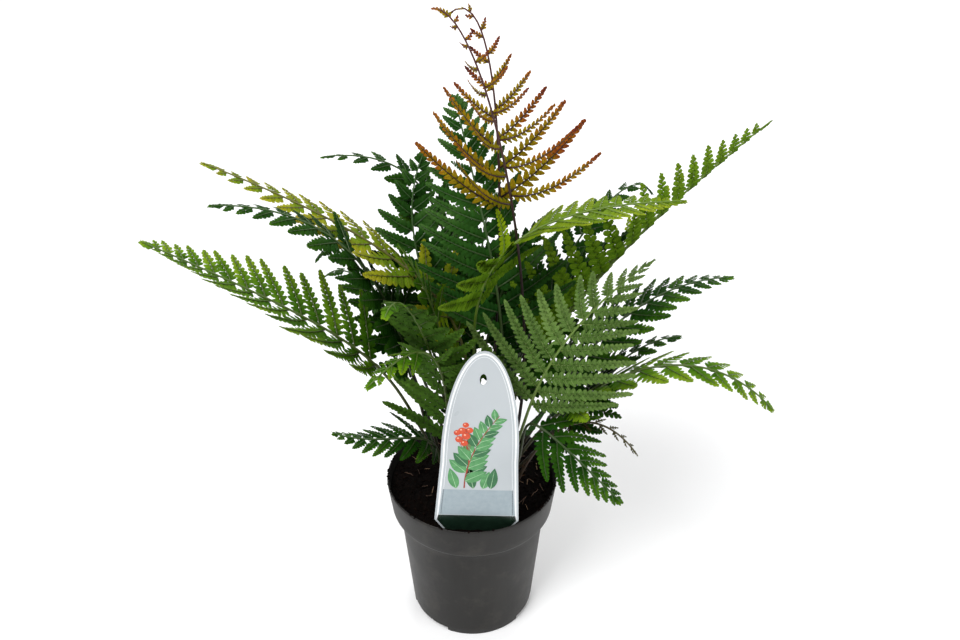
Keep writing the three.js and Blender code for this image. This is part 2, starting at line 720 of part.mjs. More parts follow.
// No leaf hangs in front of the tag, seen from somewhat above
function clearOfLabelFace(sheet) {
  return sheet.points.every((p) => {
    const beside = Math.abs(p.x - LABEL_CENTRE_X) > LABEL_RIM_HALF + LABEL_ROOM;
    const hidden = LABEL_TOP_HEIGHT + LABEL_ROOM + SIGHT_SLOPE * (LABEL_Y - p.y);
    return p.y > LABEL_Y || beside || p.z > hidden;
  });
}

// One pinna by its place along the frond, before it is bent clear of other leaves
function pinnaAt(frond, path, at, spacing, hand, dice) {
  const length = pinnaLength(frond, at) * mix(1 - LENGTH_SPREAD, 1 + LENGTH_SPREAD, dice());
  const closing = ANGLE_CLOSING * (at - frond.bare);
  const angle = radians(frond.open - closing + mix(-ANGLE_SPREAD, ANGLE_SPREAD, dice()));
  const room = PINNA_ROOM_SHARE * spacing * path.length * Math.sin(angle);
  const widest = Math.min((frond.width ?? PINNA_WIDTH_SHARE) * length + PINNA_WIDTH_LEAST, room);
  const step = Math.min(PINNA_BASE_HALF, PINNA_BASE_SHARE * spacing * path.length);
  return { frame: path.frame(at), radius: rachisRadius(at), step, hand, angle, widest, frond, length };
}

// The first bend and length of a pinna that keeps it clear, or null
function freeSheet(pinna, obstacles, own) {
  for (const [fold, shorten] of TRIALS) {
    const sheet = pinnaSheet(pinna, fold, shorten, 0);
    if (clearOfPot(sheet) && clearOfLabelFace(sheet)) {
      const wide = obstacleOf(pinnaSheet(pinna, fold, shorten, MARGIN), 2);
      const plain = obstacleOf(sheet, sheet.points.length);
      const hit = obstacles.some((other) => meets(wide, other));
      if (!hit && !own.some((other) => meets(plain, other))) {
        own.push(plain);
        return { sheet, wide };
      }
    }
  }
  return null;
}

// Works out every pinna of every frond, bending or shortening those that would meet another leaf
function planPinnae(paths) {
  const leaves = labelObstacles();
  const stems = paths.map(stemObstacles);
  return FRONDS.map((frond, index) => {
    const path = paths[index];
    const dice = makeDice(index * 977 + 31);
    const obstacles = [...leaves, ...stems.filter((stem, i) => i !== index).flat()];
    const own = [];
    const pinnae = [];
    for (let number = 0; number < frond.pairs; number += 1) {
      const share = pairShare(frond, number);
      const spacing = pairShare(frond, number + 1) - share;
      for (const hand of [-1, 1]) {
        const at = share + (hand > 0 ? STAGGER * spacing : 0);
        const pinna = pinnaAt(frond, path, at, spacing, hand, dice);
        const free = freeSheet(pinna, obstacles, own);
        if (free) {
          leaves.push(free.wide);
        }
        pinnae.push({ at, step: pinna.step, hand, sheet: free ? free.sheet : null });
      }
    }
    return pinnae;
  });
}

// Thickens a middle surface into a closed blade
function thicken(points, normals, halves, triangles) {
  const count = points.length;
  const top = points.map((p, i) => blend([p, 1], [normals[i], halves[i]]));
  const bottom = points.map((p, i) => blend([p, 1], [normals[i], -halves[i]]));
  const faces = [];
  const open = new Map();
  for (const [a, b, c] of triangles) {
    faces.push(a, b, c, a + count, c + count, b + count);
    for (const [i, j] of [[a, b], [b, c], [c, a]]) {
      if (!open.delete(`${j},${i}`)) {
        open.set(`${i},${j}`, [i, j]);
      }
    }
  }
  for (const [i, j] of open.values()) {
    faces.push(j, i, i + count, j, i + count, j + count);
  }
  const geometry = new THREE.BufferGeometry();
  const corners = [...top, ...bottom].flatMap((p) => [p.x, p.y, p.z]);
  geometry.setAttribute('position', new THREE.Float32BufferAttribute(corners, 3));
  geometry.setIndex(faces);
  return geometry;
}

// One frond: a stem that thins to the tip, with its pinnae growing out of both edges
function makeFrond(frond, path, pinnae) {
  const points = [];
  const normals = [];
  const halves = [];
  const triangles = [];
  const addEdge = (frame, hand, radius) => {
    points.push(blend([frame.place, 1], [frame.side, hand * radius]));
    normals.push(frame.normal);
    halves.push(radius);
    return points.length - 1;
  };
  const sides = new Map([[-1, []], [1, []]]);
  const crown = path.frame(0);
  const level = new THREE.Vector3(crown.side.x, crown.side.y, 0).normalize();
  const foot = {
    place: new THREE.Vector3(frond.root[0], frond.root[1], STIPE_FOOT),
    side: level,
    normal: new THREE.Vector3().crossVectors(level, UP),
  };
  for (const hand of [-1, 1]) {
    const edge = sides.get(hand);
    edge.push(addEdge(foot, hand, STIPE_RADIUS));
    for (let i = 0; i < STIPE_STEPS; i += 1) {
      const share = (frond.bare - 0.01) * i / STIPE_STEPS;
      edge.push(addEdge(path.frame(share), hand, rachisRadius(share)));
    }
    for (const pinna of pinnae.filter((p) => p.hand === hand)) {
      const radius = rachisRadius(pinna.at);
      const frame = path.frame(pinna.at);
      const corners = [-1, 1].map((way) => addEdge(
        { ...frame, place: blend([frame.place, 1], [frame.forward, way * pinna.step]) },
        hand, radius,
      ));
      edge.push(...corners);
      if (pinna.sheet) {
        const offset = points.length - 2;
        pinna.sheet.points.slice(2).forEach((p, i) => {
          points.push(p);
          normals.push(pinna.sheet.normals[i + 2]);
          halves.push(BLADE_HALF);
        });
        const place = (i) => (i < 2 ? corners[i] : offset + i);
        pinna.sheet.triangles.forEach((t) => triangles.push(t.map(place)));
      }
    }
  }
  const left = sides.get(-1);
  const right = sides.get(1);
  for (let i = 1; i < left.length; i += 1) {
    triangles.push([left[i - 1], right[i - 1], right[i]], [left[i - 1], right[i], left[i]]);
  }
  const last = path.frame(1);
  points.push(last.place);
  normals.push(last.normal);
  halves.push(BLADE_HALF);
  triangles.push([left[left.length - 1], right[right.length - 1], points.length - 1]);
  const geometry = thicken(points, normals, halves, triangles);
  return nodeOf(frond.name, geometryOf(solidOf(geometry)), TONES[frond.tone], 0.55);
}

function makeFern() {
  const fern = new THREE.Group();
  fern.name = 'potted_autumn_fern';
  fern.add(makePot());
  fern.add(makeSoil());
  fern.add(makeLabel());
  const paths = FRONDS.map((frond) => new RachisPath(frond));
  const plan = planPinnae(paths);
  FRONDS.forEach((frond, i) => fern.add(makeFrond(frond, paths[i], plan[i])));
  return fern;
}

export default makeFern();
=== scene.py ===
import collections
import functools
import itertools
from math import atan2, cos, degrees, hypot, pi, radians, sin, sqrt

import bmesh
import bpy
import numpy as np
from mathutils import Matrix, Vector, kdtree, noise


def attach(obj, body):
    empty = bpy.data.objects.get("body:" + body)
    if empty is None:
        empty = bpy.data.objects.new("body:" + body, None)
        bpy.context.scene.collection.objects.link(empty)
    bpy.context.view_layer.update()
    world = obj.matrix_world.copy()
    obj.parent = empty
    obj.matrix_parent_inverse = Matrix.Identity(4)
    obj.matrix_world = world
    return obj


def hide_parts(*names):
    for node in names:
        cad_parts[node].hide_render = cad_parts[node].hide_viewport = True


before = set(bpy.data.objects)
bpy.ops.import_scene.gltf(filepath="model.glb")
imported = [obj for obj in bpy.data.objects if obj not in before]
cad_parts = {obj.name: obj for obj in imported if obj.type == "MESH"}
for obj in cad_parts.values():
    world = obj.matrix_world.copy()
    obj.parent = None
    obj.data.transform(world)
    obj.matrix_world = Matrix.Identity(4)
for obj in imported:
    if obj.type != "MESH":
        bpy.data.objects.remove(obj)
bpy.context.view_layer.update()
scene = bpy.context.scene

# Lengths are millimetres until a mesh is written, which is in metres
MM = 0.001
UP = np.array([0, 0, 1.0])

# Pot, soil and label, as in the CAD part
POT_HEIGHT = 115
RIM_RADIUS = 60
STEP_HEIGHT = 88
STEP_RADIUS = 51.8
BASE_RADIUS = 44.6
NOTCH_START = 196
NOTCH_SWEEP = 50
NOTCH_HEIGHT = 3
SOIL_EDGE_HEIGHT = 107.5
SOIL_RISE = 3
SOIL_LUMP = 0.9
STIPE_FOOT = 98.5
CROWN_HEIGHT = 112
LABEL_Y = -49.5
LABEL_CENTRE_X = 2.8
LABEL_THICKNESS = 0.8
LABEL_FOOT = (11, 93)
LABEL_RIM = (27.8, 117)
LABEL_SHOULDER = (24.6, 166)
LABEL_TOP_HEIGHT = 249
LABEL_LEAN = 2.2
LABEL_SLOT_HEIGHT = 229
LABEL_SLOT_HALF = (2.2, 4.2)

# Leaf blades, as in the CAD part
BLADE_HALF = 0.35
STIPE_RADIUS = 1.3
TIP_RADIUS = 0.45
ANGLE_CLOSING = 34
ANGLE_SPREAD = 4
LENGTH_SPREAD = 0.08
STAGGER = 0.32
FROND_SHOULDER = 0.86
FROND_WIDEST_AT = 0.2
SHORTEST_PINNA = 2
LAST_PAIR = 0.975
PAIR_CROWDING = 1.25
PINNA_WIDTH_LEAST = 1.2
PINNA_ROOM_SHARE = 0.48
PINNA_FOOT_WIDTH = 0.7
PINNA_WIDEST_AT = 0.2
PINNA_TAPER = 0.55

# Bends of a pinna that are tried in turn, each with the share of its length that is kept
TRIALS = [
    (0, 1), (0.16, 1), (-0.16, 1), (0.32, 0.95), (-0.32, 0.95),
    (0, 0.75), (0.25, 0.75), (-0.25, 0.75), (0.5, 0.75), (-0.5, 0.75),
    (0, 0.5), (0.3, 0.5), (-0.3, 0.5), (0.6, 0.5), (-0.6, 0.5),
    (0, 0.3), (0.5, 0.3), (-0.5, 0.3),
]

# Seeds of the random draws: how far they step from frond to frond, and where they start
PLAN_SEEDS = (977, 31)
LEAF_SEEDS = (613, 77)

# A frond: its stem leaves the soil at root and sets out along rise; mid and tip are places on its curve.
# bare: share without pinnae. reach: the longest pinna. facing: where its upper side looks, in degrees.
# open, sweep, fold and droop: how its pinnae stand. taper, width: their shape. shade: above 0 if paler.
Frond = collections.namedtuple(
    "Frond",
    "name tone root rise mid tip bare pairs reach facing open sweep fold droop taper width shade",
    defaults=(66, 0.25, 0, 0.14, 1.1, 0.19, 0),
)
FRONDS = [
    Frond("red_front", "red", (17, -5), (42, 4, 66), (28, -3, 298), (-19, -8, 434),
          0.63, 8, 58, 56, open=100, sweep=0.5, fold=-0.4, droop=0, taper=2, width=0.06),
    Frond("red_back", "red", (7, 9), (12, 3, 66), (18, 20, 307), (-12, 22, 424),
          0.6, 8, 68, 84, open=62, sweep=0.3, fold=-0.1, droop=0, taper=1.9, width=0.08),
    Frond("right_pale", "pale", (13, -14), (31, -16, 54), (37, -40, 205), (102, -45, 306),
          0.44, 12, 64, -118, sweep=0.22, droop=0.05, width=0.3),
    Frond("right_bright", "bright", (14, 5), (10, 4, 87), (63, 12, 238), (179, 26, 362),
          0.36, 16, 46, -60, fold=0.5, droop=0.03, taper=1, width=0.3),
    Frond("bluish_tall", "bluish", (2, 2), (40, -20, 93), (18, 6, 247), (-9, 46, 371),
          0.45, 14, 58, 95, open=70, droop=0.05, taper=0.85),
    Frond("bluish_left", "bluish", (-8, 9), (21, -2, 87), (-23, 26, 228), (-30, 56, 331),
          0.45, 11, 48, 110, open=70, droop=0.08, taper=0.9),
    Frond("left_long", "mid", (-14, -6), (-46, -7, 105), (-61, -15, 217), (-196, -6, 300),
          0.42, 14, 46, 175, sweep=0.3, fold=0.2, droop=0.06, taper=0.95, width=0.36, shade=0.7),
    Frond("upper_left_olive", "olive", (-10, 1), (13, -9, 107), (-12, 6, 236), (-162, 26, 337),
          0.36, 13, 50, 172, sweep=0.3),
    Frond("upper_left_green", "dark", (-17, 0), (-33, 3, 66), (-49, -3, 244), (-152, -6, 323),
          0.36, 12, 54, 182, droop=0.22),
    Frond("back_left", "dark", (-6, 15), (-20, 16, 67), (-13, 46, 250), (-96, 62, 327), 0.42, 9, 41, 140),
    Frond("right_arching", "bright", (6, -3), (4, -8, 120), (5, -20, 268), (128, 2, 321),
          0.5, 15, 56, 330, open=78, sweep=0.15, fold=0.05, droop=0.1, width=0.3),
    Frond("right_dark", "dark", (20, 4), (33, -6, 48), (72, 4, 206), (170, 22, 259),
          0.36, 12, 50, 8, open=72, sweep=0.28, droop=0.12, shade=0.5),
    Frond("right_low", "mid", (24, -9), (4, -4, 42), (78, -26, 205), (186, -46, 202),
          0.36, 10, 44, -40, droop=0.12, shade=0.9),
    Frond("right_lower_dark", "dark", (23, -2), (30, -10, 31), (72, -5, 181), (136, 4, 225),
          0.28, 9, 43, 2, droop=0.16),
    Frond("front_right_droop", "dark", (20, -18), (30, -18, 60), (35, -33, 181), (92, -74, 153),
          0.4, 9, 46, -38, droop=0.1, width=0.3, shade=0.7),
    Frond("front_left", "mid", (-12, -14), (-8, -16, 61), (-17, -34, 216), (-58, -82, 246),
          0.26, 12, 50, 235, droop=0.2),
    Frond("front_middle", "mid", (-9, -9), (-4, -8, 80), (-25, -33, 238), (-46, -80, 290),
          0.36, 11, 50, 250, droop=0.15, shade=-0.5),
    Frond("left_dark", "dark", (-20, 6), (-10, 0, 60), (-50, 1, 236), (-94, -4, 286),
          0.28, 11, 48, 195, droop=0.16),
    Frond("left_low", "dark", (-22, -13), (8, -4, 74), (-37, -24, 165), (-88, -36, 179),
          0.36, 9, 30, 190, droop=0.1, shade=0.3),
    Frond("back_right", "dark", (8, 19), (10, 8, 75), (60, 54, 246), (124, 78, 294), 0.4, 10, 39, 35),
    Frond("back_middle", "dark", (0, 22), (0, 14, 70), (6, 72, 236), (26, 138, 262), 0.4, 9, 48, 80),
    Frond("right_inner", "dark", (14, 12), (4, 5, 62), (38, 25, 208), (98, 14, 295), 0.28, 11, 50, 30),
    Frond("centre_back", "dark", (1, 12), (4, 0, 62), (9, 19, 205), (48, 40, 293),
          0.36, 11, 50, 70, shade=-0.5),
    Frond("centre_left", "mid", (-6, -5), (-8, 1, 70), (-16, -10, 216), (-41, -30, 308),
          0.28, 11, 50, 170, shade=-0.6),
    Frond("back_left_low", "dark", (-14, 15), (-12, 12, 55), (-52, 50, 206), (-108, 88, 224),
          0.4, 8, 43, 146),
    Frond("back_right_low", "dark", (15, 20), (12, 14, 50), (44, 66, 196), (84, 118, 210), 0.4, 8, 43, 52),
    Frond("withered", "withered", (29, -17), (6, -2, 36), (56, -24, 170), (107, -38, 161),
          0.55, 6, 9, -15, sweep=0.2, fold=0.1, droop=0.2),
]


def mix(a, b, t):
    return a + (b - a) * t


def unit(v):
    return v / sqrt(v @ v)


def polar(radius, turn):
    return radius * cos(turn), radius * sin(turn)


def make_dice(seed):
    """Repeatable random numbers from 0 to 1, the same as the CAD part's."""
    state = [seed]

    def roll():
        state[0] = (state[0] * 16807) % 2147483647
        return state[0] / 2147483647

    return roll


# Mesh building
def put(name, data):
    """A new object in the scene."""
    thing = bpy.data.objects.new(name, data)
    scene.collection.objects.link(thing)
    return thing


class Shell:
    """Triangles of one piece, with what its materials read at each point."""

    def __init__(self):
        self.parts = []
        self.count = 0

    def add(self, points, faces, slot, leaf=(0, 0, 0), place=(0, 0, 0), rim=None):
        n = len(points)
        self.parts.append((
            points,
            np.asarray(faces) + self.count,
            np.full(len(faces), slot),
            np.broadcast_to(leaf, (n, 3)),
            np.broadcast_to(place, (n, 3)),
            np.zeros(n, bool) if rim is None else rim,
        ))
        self.count += n

    def build(self, name, materials):
        points, faces, slots, leaf, place, rim = map(np.concatenate, zip(*self.parts))
        mesh = bpy.data.meshes.new(name)
        mesh.from_pydata((points * MM).tolist(), [], faces.tolist())
        mesh.update(calc_edges=True)
        for material in materials:
            mesh.materials.append(material)
        mesh.polygons.foreach_set("material_index", slots.astype(np.int32))
        mesh.polygons.foreach_set("use_smooth", np.ones(len(faces), bool))
        for label, values in (("leaf", leaf), ("place", place)):
            layer = mesh.attributes.new(label, "FLOAT_VECTOR", "POINT")
            layer.data.foreach_set("vector", values.astype(np.float32).ravel())
        if rim.any():
            ends = np.zeros(len(mesh.edges) * 2, np.int32)
            mesh.edges.foreach_get("vertices", ends)
            sharp = rim[ends.reshape(-1, 2)].all(axis=1)
            layer = mesh.attributes.new("sharp_edge", "BOOLEAN", "EDGE")
            layer.data.foreach_set("value", sharp)
        return put(name, mesh)


def tube_faces(rows, count):
    """Faces over rings of this many points each, closed by a point before them and one after."""
    faces = []
    for j in range(count):
        k = (j + 1) % count
        faces.append((0, 1 + k, 1 + j))
        for i in range(rows - 1):
            a, b = 1 + i * count + j, 1 + i * count + k
            c, d = a + count, b + count
            faces += [(a, b, d), (a, d, c)]
        end = 1 + (rows - 1) * count
        faces.append((end + j, end + k, end + count))
    return np.array(faces)


def tube(centres, sides, normals, radii, count):
    """Points and faces of a tube that ends in a point at each end."""
    turn = np.arange(count) * 2 * pi / count
    ring = np.cos(turn)[:, None], np.sin(turn)[:, None]
    points = [centres[0][None, :]]
    for centre, side, normal, radius in zip(centres, sides, normals, radii):
        points.append(centre + radius * (ring[0] * side + ring[1] * normal))
    points.append(centres[-1][None, :])
    return np.concatenate(points), tube_faces(len(centres), count)


# Pinnules: each is a small toothed leaflet, grown together with its neighbours at its foot
UNDER_DEPTH = 0.14
EDGE_DROP = 0.26
VALLEY_WIDTH = 0.86
TOOTH_PEAK = 0.74
NECK_LENGTH = 0.4
JOINED_WIDTH = 1.16
WING_STEPS = 10
TOOTH_LENGTH = 1.7
MOST_TEETH = 5
UPPER, UNDER, STEM, SCALE = range(4)


@functools.cache
def pinnule_pattern(teeth, wing, neck, blunt):
    """Points (along, across, height), faces and rim flags of a leaflet 1 long and 1 half wide.

    wing is the share of it that is grown together with its neighbours, neck the width of its foot,
    and blunt is higher for a rounder end.
    """
    n = teeth
    points = [(j / n, 0, 0) for j in range(n)] + [(1, 0, -0.1)]
    points += [(j / n, 0, -UNDER_DEPTH) for j in range(n)]
    for way in (1, -1):
        for j in range(n):
            for share, factor in ((j / n, VALLEY_WIDTH), ((j + TOOTH_PEAK) / n, 1)):
                free = max(0, share - wing) / (1 - wing)
                body = mix(neck, 1, min(1, share / NECK_LENGTH)) * (1 - free ** blunt) ** 0.6
                wide = JOINED_WIDTH if share < wing else factor * body
                points.append((share, way * wide, -EDGE_DROP * wide * wide - 0.03))
    top = list(range(n)) + [n]
    under = [n + 1 + j for j in range(n)] + [n]
    faces = []
    for s, way in ((0, 1), (1, -1)):
        start = 2 * n + 1 + s * 2 * n
        for j in range(n):
            valley, peak = start + 2 * j, start + 2 * j + 1
            for middle, up in ((top, 1), (under, -1)):
                rows = [(middle[j], peak, valley), (middle[j], middle[j + 1], peak)]
                if j < n - 1:
                    rows.append((middle[j + 1], valley + 2, peak))
                faces += [r if up * way > 0 else r[::-1] for r in rows]
    first, second = 2 * n + 1, 4 * n + 1
    faces += [(0, first, n + 1), (0, n + 1, second)]
    rim = np.array([False] * n + [True] + [False] * n + [True] * (4 * n))
    under_face = np.array([n + 1 in f or any(n < i <= 2 * n for i in f) for f in faces])
    return np.array(points, float), np.array(faces), rim, under_face


def add_pinnule(shell, look, wing, origin, axis, across, face, length, half, droop, place, dice):
    teeth = max(2, min(MOST_TEETH, round(length / TOOTH_LENGTH)))
    wing = round(min(0.9, wing) * WING_STEPS) / WING_STEPS
    pattern, faces, rim, under = pinnule_pattern(teeth, wing, look.neck, look.blunt)
    u, v, w = pattern[:, 0:1], pattern[:, 1:2], pattern[:, 2:3]
    points = origin + u * length * axis + v * half * across + (w * half - droop * length * u * u) * face
    if np.cross(axis, across) @ face < 0:
        faces = faces[:, ::-1]
    leaf = np.column_stack([pattern[:, 0], pattern[:, 1], np.full(len(pattern), dice())])
    shell.add(points, faces, UPPER, leaf, place, rim)
    shell.parts[-1][2][under] = UNDER


# Curves of the fronds, by the same rules as the CAD part's
class Rachis:
    """A frond's curve, measured by its share of the length from crown to tip."""

    TIMES = np.linspace(0, 1, 49)

    def __init__(self, frond):
        self.start = np.array([*frond.root, CROWN_HEIGHT], float)
        self.first = self.start + np.array(frond.rise, float)
        self.end = np.array(frond.tip, float)
        mid = np.array(frond.mid, float)
        self.second = (8 * mid - self.start - 3 * self.first - self.end) / 3
        lean = radians(frond.facing)
        self.lean = np.array([cos(lean), sin(lean), 0])
        places = [self.point(t) for t in self.TIMES]
        pieces = np.linalg.norm(np.diff(places, axis=0), axis=1)
        self.lengths = np.array([0, *np.cumsum(pieces)])
        self.length = self.lengths[-1]

    def point(self, t):
        u = 1 - t
        return (
            self.start * u * u * u + self.first * 3 * u * u * t
            + self.second * 3 * u * t * t + self.end * t * t * t
        )

    def frame(self, share):
        """Place, forward direction, side direction and upper-face normal."""
        t = np.interp(share * self.length, self.lengths, self.TIMES)
        forward = unit(self.point(min(1, t + 0.01)) - self.point(max(0, t - 0.01)))
        rise = max(-1, min(1, forward[2]))
        above = UP * sqrt(1 - rise * rise) - self.lean * rise
        side = unit(np.cross(forward, above))
        normal = unit(np.cross(side, forward))
        return self.point(t), forward, side, normal


def rachis_radius(share):
    return mix(STIPE_RADIUS, TIP_RADIUS, share)


def pair_share(frond, number):
    q = number / frond.pairs
    return mix(frond.bare, LAST_PAIR, 1 - (1 - q) ** PAIR_CROWDING)


def pinna_length(frond, share):
    u = (share - frond.bare) / (1 - frond.bare)
    shoulder = mix(FROND_SHOULDER, 1, min(1, u / FROND_WIDEST_AT))
    return frond.reach * shoulder * max(0, 1 - u) ** frond.taper + SHORTEST_PINNA


def half_width(widest, x):
    return widest * mix(PINNA_FOOT_WIDTH, 1, min(1, x / PINNA_WIDEST_AT)) * max(0, 1 - x) ** PINNA_TAPER


class Pinna:
    """One leaflet-bearing branch of a frond, bent and shortened as the CAD part bends it."""

    def __init__(self, frond, path, at, hand, angle, length, widest):
        self.frond, self.at, self.hand, self.widest, self.full = frond, at, hand, widest, length
        self.place, self.forward, self.side, self.normal = path.frame(at)
        self.angle = angle
        self.base = self.place + self.side * hand * rachis_radius(at)

    def set(self, fold, shorten):
        frond = self.frond
        self.length = self.full * shorten
        self.wide = self.widest * mix(1, shorten, 0.5)
        lift = frond.fold + fold
        self.out = unit(
            self.forward * cos(self.angle) + self.side * self.hand * sin(self.angle)
            + self.normal * lift * 0.5
        )
        self.bend = self.forward * frond.sweep + self.normal * lift - UP * frond.droop

    def rib(self, x):
        return self.base + self.out * self.length * x + self.bend * self.length * x * x

    def across(self, x):
        along = unit(self.out + self.bend * 2 * x)
        lift = unit(self.forward - along * (self.forward @ along))
        return along, lift, np.cross(along, lift) * self.hand

    def fit(self, tree):
        """Takes the bend whose tip is a corner of the CAD frond. False if the CAD has none."""
        for fold, shorten in TRIALS:
            self.set(fold, shorten)
            end, face = self.rib(1), self.across(1)[2]
            near = [tree.find((end + face * way * BLADE_HALF) * MM)[2] for way in (-1, 1)]
            if max(near) < 0.1 * MM:
                return True
        return False


def plan_pinnae(index, frond, path):
    """Every pinna of a frond that the CAD part has."""
    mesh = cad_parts["frond_" + frond.name].data
    tree = kdtree.KDTree(len(mesh.vertices))
    for i, corner in enumerate(mesh.vertices):
        tree.insert(corner.co, i)
    tree.balance()
    dice = make_dice(index * PLAN_SEEDS[0] + PLAN_SEEDS[1])
    pinnae = []
    for number in range(frond.pairs):
        share = pair_share(frond, number)
        spacing = pair_share(frond, number + 1) - share
        for hand in (-1, 1):
            at = share + (STAGGER * spacing if hand > 0 else 0)
            length = pinna_length(frond, at) * mix(1 - LENGTH_SPREAD, 1 + LENGTH_SPREAD, dice())
            closing = ANGLE_CLOSING * (at - frond.bare)
            angle = radians(frond.open - closing + mix(-ANGLE_SPREAD, ANGLE_SPREAD, dice()))
            room = PINNA_ROOM_SHARE * spacing * path.length * sin(angle)
            widest = min(frond.width * length + PINNA_WIDTH_LEAST, room)
            pinna = Pinna(frond, path, at, hand, angle, length, widest)
            if pinna.fit(tree):
                pinnae.append(pinna)
    return pinnae


# How the pinnules of each colour of frond stand. pitch: spacing for each mm of half width.
# wing: share grown together at the foot of a long pinna. neck: width of a pinnule's foot.
# fullness: share of the spacing that a pinnule fills. reach: its length for each mm of half width.
# blunt: higher for rounder pinnules. lean: angle towards the pinna's tip, at its foot and its end.
Look = collections.namedtuple("Look", "pitch wing neck fullness reach blunt lean")
LOOKS = {
    "red": Look(0.7, 0.18, 0.8, 0.9, 1.25, 1.7, (22, 54)),
    "pale": Look(0.6, 0.3, 0.95, 1, 1.3, 2.6, (14, 42)),
    "bright": Look(0.6, 0.76, 1, 1.08, 1.3, 2.4, (18, 46)),
    "bluish": Look(0.5, 0.6, 1, 1.04, 1.32, 1.9, (24, 52)),
    "mid": Look(0.6, 0.5, 1, 1.06, 1.38, 2.2, (16, 46)),
    "olive": Look(0.62, 0.6, 1, 1.06, 1.36, 2.2, (16, 46)),
    "dark": Look(0.6, 0.5, 1, 1.06, 1.38, 2.1, (18, 48)),
    "withered": Look(0.8, 0.1, 0.5, 0.7, 0.9, 1.8, (30, 60)),
}
PITCH_LEAST = 0.95
SHORT_PINNA = 30
SHORT_PITCH = 0.4
TIP_WING = 0.72


def shortness(rib_length):
    return max(0, 1 - rib_length / SHORT_PINNA)


def pinnule_shares(look, rib_length, half):
    """Shares along a rib at which pinnules stand, closer where the blade is narrow or short."""
    pitch = look.pitch * mix(1, SHORT_PITCH, shortness(rib_length))
    shares = []
    at = 0.3 * (pitch * half(0) + PITCH_LEAST)
    while at < rib_length * 0.97:
        shares.append(at / rib_length)
        at += pitch * half(at / rib_length) + PITCH_LEAST
    return shares


def wing_at(look, rib_length, x):
    """Pinnules grow together towards the tip of a pinna, and on short pinnae."""
    short = shortness(rib_length)
    return mix(look.wing + 0.5 * short, TIP_WING + 0.2 * short, x ** 1.4)


def add_blade(shell, look, rib_length, rib, across, half, place_of, dice):
    """Two rows of pinnules and an end leaflet along a rib."""
    shares = pinnule_shares(look, rib_length, half)
    edges = shares + [1]
    for i, x in enumerate(shares):
        gap = (edges[i + 1] - x) * rib_length
        for way in (1, -1):
            at = min(0.97, x + (0.5 * (edges[i + 1] - x) if way < 0 else 0))
            along, lift, face = across(at)
            lean = radians(mix(*look.lean, at) + mix(-3, 3, dice()))
            axis = lift * way * cos(lean) + along * sin(lean)
            beside = along * cos(lean) - lift * way * sin(lean)
            beside = unit(beside + face * mix(-0.12, 0.12, dice()))
            normal = np.cross(axis, beside)
            normal = normal if normal @ face > 0 else -normal
            length = half(at) * look.reach * mix(0.93, 1.07, dice()) / cos(lean * 0.6) + 0.3
            wide = 0.5 * gap * look.fullness * mix(0.95, 1.05, dice())
            wing = wing_at(look, rib_length, at)
            add_pinnule(
                shell, look, wing, rib(at) - face * 0.05, axis, beside, normal, length, wide,
                mix(0.02, 0.16, dice()), place_of(at), dice,
            )
    along, lift, face = across(0.94)
    start = 0.9
    length = (1 - start) * rib_length + 1.2
    wide = min(half(start) * 0.9 + 0.3, length * 0.4)
    add_pinnule(shell, look, 0.1, rib(start), along, lift, face, length, wide, 0.05, place_of(1), dice)


def add_pinna(shell, pinna, look, dice):
    number = dice() + pinna.frond.shade
    blade_share = (pinna.at - pinna.frond.bare) / (1 - pinna.frond.bare)
    add_blade(
        shell, look, pinna.length, pinna.rib, pinna.across, lambda x: half_width(pinna.wide, x),
        lambda x: (blade_share, x, number), dice,
    )
    shares = np.linspace(0, 0.96, 7)
    frames = [pinna.across(x) for x in shares]
    root = min(0.55, rachis_radius(pinna.at) * 0.8)
    points, faces = tube(
        [pinna.rib(x) - f[2] * 0.1 for x, f in zip(shares, frames)],
        [f[1] for f in frames], [f[2] for f in frames],
        [mix(root, 0.16, x) for x in shares], 5,
    )
    if np.cross(frames[0][1], frames[0][2]) @ frames[0][0] < 0:
        faces = faces[:, ::-1]
    shell.add(points, faces, STEM, (0, 0, number), (pinna.at, 1, number))


def add_rachis(shell, frond, path, number):
    level = unit(path.frame(0)[2] * np.array([1, 1, 0]))
    shares = np.concatenate([np.linspace(0, frond.bare, 16), np.linspace(frond.bare, 1, 26)[1:]])
    centres = [np.array([*frond.root, STIPE_FOOT], float)]
    sides, normals, radii = [level], [np.cross(level, UP)], [STIPE_RADIUS]
    for share in shares:
        place, _, side, normal = path.frame(share)
        centres.append(place)
        sides.append(side)
        normals.append(normal)
        radii.append(rachis_radius(share) if share < 0.99 else 0.2)
    points, faces = tube(centres, sides, normals, radii, 8)
    place = np.zeros((len(points), 3))
    place[:, 2] = number
    place[1:-1, 0] = np.repeat(np.concatenate([[0], shares]), 8)
    place[-1, 0] = 1
    shell.add(points, faces[:, ::-1], STEM, (0, 0, number), place)


def add_tip(shell, frond, path, look, dice):
    """The frond's own tapering end, past its last pair of pinnae."""
    start = mix(pair_share(frond, frond.pairs - 1), pair_share(frond, frond.pairs), 0.75)
    number = dice() + frond.shade

    def at(x):
        return path.frame(mix(start, 1, min(x, 1)))

    add_blade(
        shell, look, (1 - start) * path.length, lambda x: at(x)[0], lambda x: at(x)[1:],
        lambda x: pinna_length(frond, mix(start, 1, x)) * 0.72, lambda x: (1, x, number), dice,
    )


SCALES = 26
SCALED_SHARE = 0.26


